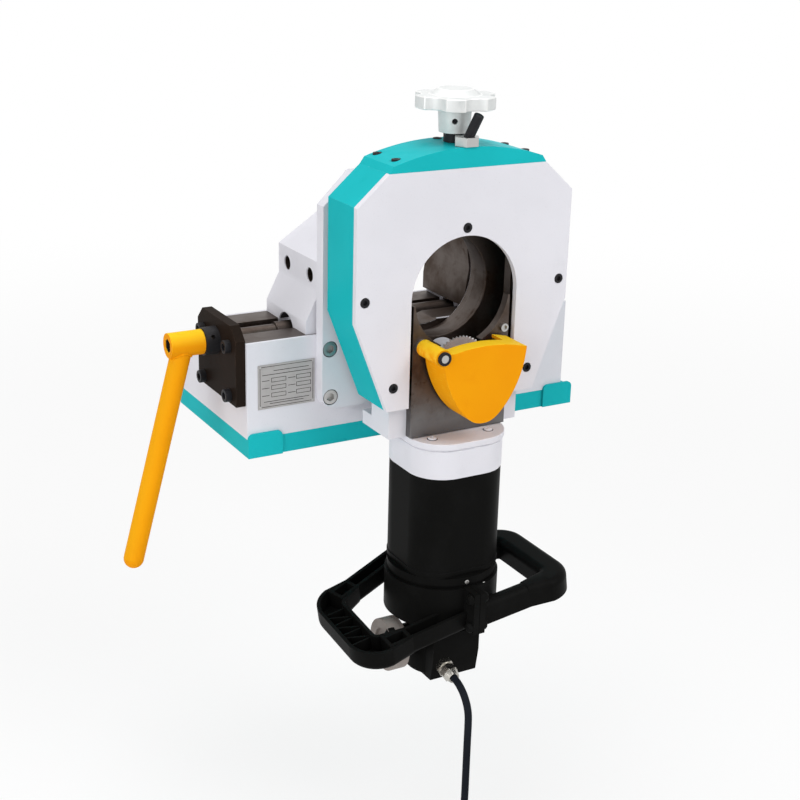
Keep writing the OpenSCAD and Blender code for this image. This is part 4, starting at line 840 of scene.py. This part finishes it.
# %% Handle corners
ARM_W, GRIP_W, GRIP_H, GRIP_WALL, GRIP_ROOF = 20 * MM, 32 * MM, 26 * MM, 4 * MM, 6 * MM
GRIP_TOP, GRIP_ROUND = 15.3 * MM, 9 * MM
TAPER_L, TAPER_IN = 28 * MM, 0.5 * MM
GRIP_MIDDLE = Matrix.Translation((0, -157 * MM, -176 * MM))
RIGHT_LOOP = GRIP_MIDDLE @ Matrix.Translation((0, 0, -7 * MM)) @ Matrix.Rotation(radians(-8), 4, "Y")
LEFT_LOOP = (GRIP_MIDDLE @ Matrix.Rotation(pi, 4, "Y") @ Matrix.Translation((0, 0, -5 * MM))
             @ Matrix.Rotation(radians(-11), 4, "Y") @ Matrix.Rotation(radians(-6.5), 4, "X"))
SLANT = Matrix.Rotation(radians(-18), 4, "Z") @ Matrix.Translation((0, 20 * MM, 0))
CORNERS = (("right_handle", RIGHT_LOOP @ Matrix.Translation((104 * MM, -60 * MM, 0))),
           ("right_handle", RIGHT_LOOP @ Matrix.Translation((104 * MM, 60 * MM, 0))),
           ("left_handle", LEFT_LOOP @ Matrix.Translation((104 * MM, -60 * MM, 0))),
           ("left_handle", LEFT_LOOP @ Matrix.Translation((104 * MM, 25.18 * MM, 0)) @ SLANT))


def grip_taper():
    """A taper along x: full width at its right end, the arm's width at its left end."""
    bpy.ops.mesh.primitive_cube_add(size=1, location=(TAPER_IN - TAPER_L / 2, 0, GRIP_TOP - GRIP_H / 2))
    taper = bpy.context.object
    taper.scale = (TAPER_L, GRIP_W, GRIP_H)
    bpy.ops.object.transform_apply(location=True, rotation=True, scale=True)
    points = taper.data.vertices

    def upper(edge):
        a, b = (points[i].co for i in edge.vertices)
        return min(a.z, b.z) > 0 and abs(a.x - b.x) > TAPER_L / 2

    pick(taper, "EDGE", upper)
    bpy.ops.mesh.bevel(offset=GRIP_ROUND, segments=5, affect="EDGES")
    pick(taper, "FACE", lambda face: face.normal.x < -0.9)
    bpy.ops.transform.resize(value=(1, ARM_W / GRIP_W, 1))
    pick(taper, "FACE", lambda face: face.normal.z < -0.9)
    bpy.ops.mesh.inset(thickness=GRIP_WALL)
    bpy.ops.mesh.extrude_region_move(TRANSFORM_OT_translate={"value": (0, 0, GRIP_H - GRIP_ROOF)})
    bpy.ops.object.mode_set(mode="OBJECT")
    return taper


def handle_corners():
    model = grip_taper()
    for i, (handle, place) in enumerate(CORNERS, 1):
        taper = copy_to(model, (0, 0, 0))
        taper.matrix_world = place
        register(taper, "grip_taper_%d" % i, SLOT[handle], BODY[handle])
    bpy.data.objects.remove(model)
    return len(CORNERS)


print("handle corners:", handle_corners())

# %% [markdown]
# Some trim is black: domed caps over the bolts of the handles' clamp, a thin black ring round the
# guard's pin that paints the shade in its recess, the grub screw in the knob's hub, and the moulded grip
# across the gear selector. The cap is the rivet's dome again, the grub a button screw sunk in its hole
# and the ring a short thick wall; the grip is a bar whose edges are all rounded.

# %% Black trim
CLAMP_BOLTS = [(side, y, z) for side in (-1, 1) for y in (-235.5, -78.5) for z in (-150, -184)]
CLAMP_EAR, BOLT_CAP = 7.3 * MM, (6 * MM, 5.6 * MM)
PIN_SEAT, PIN_SHADE_RING = Vector((-48, -225.9, 128)) * MM, (7.25 * MM, 2.85 * MM, 2.9 * MM)
GRUB_TURN, GRUB_SEAT, GRUB = radians(30), 10.5 * MM, (2.9 * MM, 2.4 * MM, 1.2 * MM)
SELECTOR_TURN, SELECTOR_OUT = radians(35), 4.5 * MM
SELECTOR_BAR, SELECTOR_EDGE = Vector((9.6, 9.6, 64.6)) * MM, 1.6 * MM


def bolt_caps():
    model = dome_rivet(*BOLT_CAP)
    for i, (side, y, z) in enumerate(CLAMP_BOLTS, 1):
        cap = copy_to(model, (side * CLAMP_EAR, y * MM, z * MM), (side, 0, 0))
        register(cap, "bolt_cap_%d" % i, "black_plastic", BODY["handle_bolts"])
    bpy.data.objects.remove(model)


def pin_shade_ring():
    # A thin black ring round the pin: painted shade in the recess round it.
    shade_ring = bored_wall(*PIN_SHADE_RING)
    register(copy_to(shade_ring, PIN_SEAT, FRONT), "guard_pin_shade_ring", "black_oxide", BODY["guard_pin"])
    bpy.data.objects.remove(shade_ring)


def selector_grip():
    low, high = (Vector(corner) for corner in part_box("gear_selector"))
    bpy.ops.mesh.primitive_cube_add(size=1)
    grip = bpy.context.object
    grip.scale = SELECTOR_BAR
    bpy.ops.object.transform_apply(location=True, rotation=True, scale=True)
    pick(grip, "EDGE", lambda edge: True)
    bpy.ops.mesh.bevel(offset=SELECTOR_EDGE, segments=3, affect="EDGES")
    bpy.ops.object.mode_set(mode="OBJECT")
    grip.location = (low.x + SELECTOR_OUT, (low.y + high.y) / 2, (low.z + high.z) / 2)
    grip.rotation_euler = (SELECTOR_TURN, 0, 0)
    return register(grip, "selector_grip", "black_plastic", BODY["gear_selector"])


def hub_grub():
    low, high = (Vector(corner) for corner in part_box("knob_hub"))
    out = Vector((-sin(GRUB_TURN), -cos(GRUB_TURN), 0))
    grub = button_screw(*GRUB)
    place = (low + high) / 2 + out * GRUB_SEAT
    register(copy_to(grub, place, out), "hub_grub", "black_oxide", BODY["knob_hub"])
    bpy.data.objects.remove(grub)


bolt_caps()
pin_shade_ring()
hub_grub()
print("bolt caps:", len(CLAMP_BOLTS), "and", selector_grip().name)

# %% [markdown]
# The crank's arm is a bar welded to a turned hub. The bead runs where one cylinder meets the other, and
# a hand-laid bead swells with each drop of metal. So its path is worked out point by point on the
# arm's surface, and the thickness of the round curve goes up and down along it before it becomes a mesh.

# %% Weld bead of the crank
ARM_R, HUB_R, ARM_LEAN = 11 * MM, 13.5 * MM, radians(15)
ARM_ALONG_HUB = 0.45
BEAD_R, BEAD_SWELL = 1.7 * MM, 0.15
BEAD_POINTS, BEAD_DROPS = 72, 18


def weld_bead():
    low, high = (Vector(corner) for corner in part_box("crank_hub"))
    along = low.x + ARM_ALONG_HUB * (high.x - low.x)
    centre = Vector((along, (low.y + high.y) / 2, (low.z + high.z) / 2))
    down = Vector((-sin(ARM_LEAN), 0, -cos(ARM_LEAN)))
    across = Vector((cos(ARM_LEAN), 0, -sin(ARM_LEAN)))
    curve = bpy.data.curves.new("crank_weld", "CURVE")
    curve.dimensions = "3D"
    curve.bevel_depth = BEAD_R
    curve.bevel_resolution = 3
    spline = curve.splines.new("POLY")
    spline.use_cyclic_u = True
    spline.points.add(BEAD_POINTS - 1)
    for i, knot in enumerate(spline.points):
        angle = 2 * pi * i / BEAD_POINTS
        side, depth = ARM_R * cos(angle), ARM_R * sin(angle)
        rise = (HUB_R ** 2 - depth ** 2) ** 0.5
        reach = (rise + side * across.z) / cos(ARM_LEAN)
        place = centre + across * side + Vector((0, depth, 0)) + down * reach
        knot.co = (*place, 1)
        drop = cos(2 * pi * i * BEAD_DROPS / BEAD_POINTS)
        knot.radius = 1 - BEAD_SWELL + BEAD_SWELL * drop
    bead = bpy.data.objects.new("crank_weld", curve)
    bpy.context.scene.collection.objects.link(bead)
    only(bead)
    bpy.ops.object.convert(target="MESH")
    return register(bpy.context.object, "crank_weld", "orange_paint", BODY["crank_arm"])


print("weld bead:", len(weld_bead().data.polygons), "faces")

# %% [markdown]
# The studio is a plain pale floor under the lead's coil and a white surround. Three big soft lamps do
# the lighting: a key from the front right, a fill from the left, and one overhead. The camera sees the
# surround as white, and so do polished faces, while the light that it gives stays modest.

# %% Floor, surround and lamps
FLOOR_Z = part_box("cord_tie")[0][2] - 0.2 * MM
FLOOR_SIZE, FLOOR_NEAR, FLOOR_FAR = 16, 0.3, 3.0
WHITE = (1, 1, 1, 1)
AIM = Vector((0, -0.1, 0.1))
# The name, place, width and power of each lamp.
LAMPS = (("key", (1.1, -2.0, 1.9), 1.4, 33), ("fill", (-2.2, -1.2, 0.9), 1.8, 24),
         ("overhead", (-0.3, 0.2, 2.4), 1.8, 29))


def pale_floor():
    bpy.ops.mesh.primitive_plane_add(size=FLOOR_SIZE, location=(0, 0, FLOOR_Z))
    floor = bpy.context.object
    floor.name = "studio_floor"
    bpy.ops.object.transform_apply(location=True)
    shader, place = start("studio_paper")
    paper = noise(place, 3.0)
    tone = blend((0.93, 0.93, 0.93), (0.90, 0.90, 0.90), paper)
    finish(shader, place, tone, 0.9 + paper * 0.05, bump(paper, 0.0001, 0.1))
    reach = place.node("VectorMath", {"operation": "LENGTH"}, {0: place}, out="Value")
    far = ramp(reach, FLOOR_NEAR, FLOOR_FAR)
    seen = seen_straight(place)
    glow = place.node("Emission", {}, {"Color": WHITE, "Strength": 1.0})
    paper_shader = Wire(place.tree, shader.outputs[0])
    mixed = place.node("MixShader", {}, {0: seen * (0.72 + far * 0.28), 1: paper_shader, 2: glow})
    place.feed(place.tree.nodes["Material Output"].inputs["Surface"], mixed)
    floor.data.materials.append(FINISH["studio_paper"])


def seen_straight(wire):
    """1 for what the camera sees straight, in a reflection or through glass."""
    path = wire.node("LightPath", out="Is Camera Ray")
    glossy = Wire(wire.tree, path.socket.node.outputs["Is Glossy Ray"])
    clear = Wire(wire.tree, path.socket.node.outputs["Is Transmission Ray"])
    return path.math("MAXIMUM", path, path.math("MAXIMUM", glossy, clear))


def white_surround():
    world = bpy.data.worlds.new("white_surround")
    world.use_nodes = True
    bpy.context.scene.world = world
    shade = world.node_tree.nodes["Background"]
    seen = seen_straight(Wire(world.node_tree))
    seen.feed(shade.inputs["Strength"], 0.40 + seen * 0.60)
    shade.inputs["Color"].default_value = WHITE


def lamp(name, place, size, power):
    bpy.ops.object.light_add(type="AREA", location=place)
    made = bpy.context.object
    made.name = name
    made.data.size = size
    made.data.energy = power
    made.rotation_euler = (AIM - Vector(place)).to_track_quat("-Z", "Y").to_euler()


pale_floor()
white_surround()
for settings in LAMPS:
    lamp(*settings)
bpy.context.scene.view_settings.view_transform = "Standard"
print("floor at %.4f m" % FLOOR_Z)
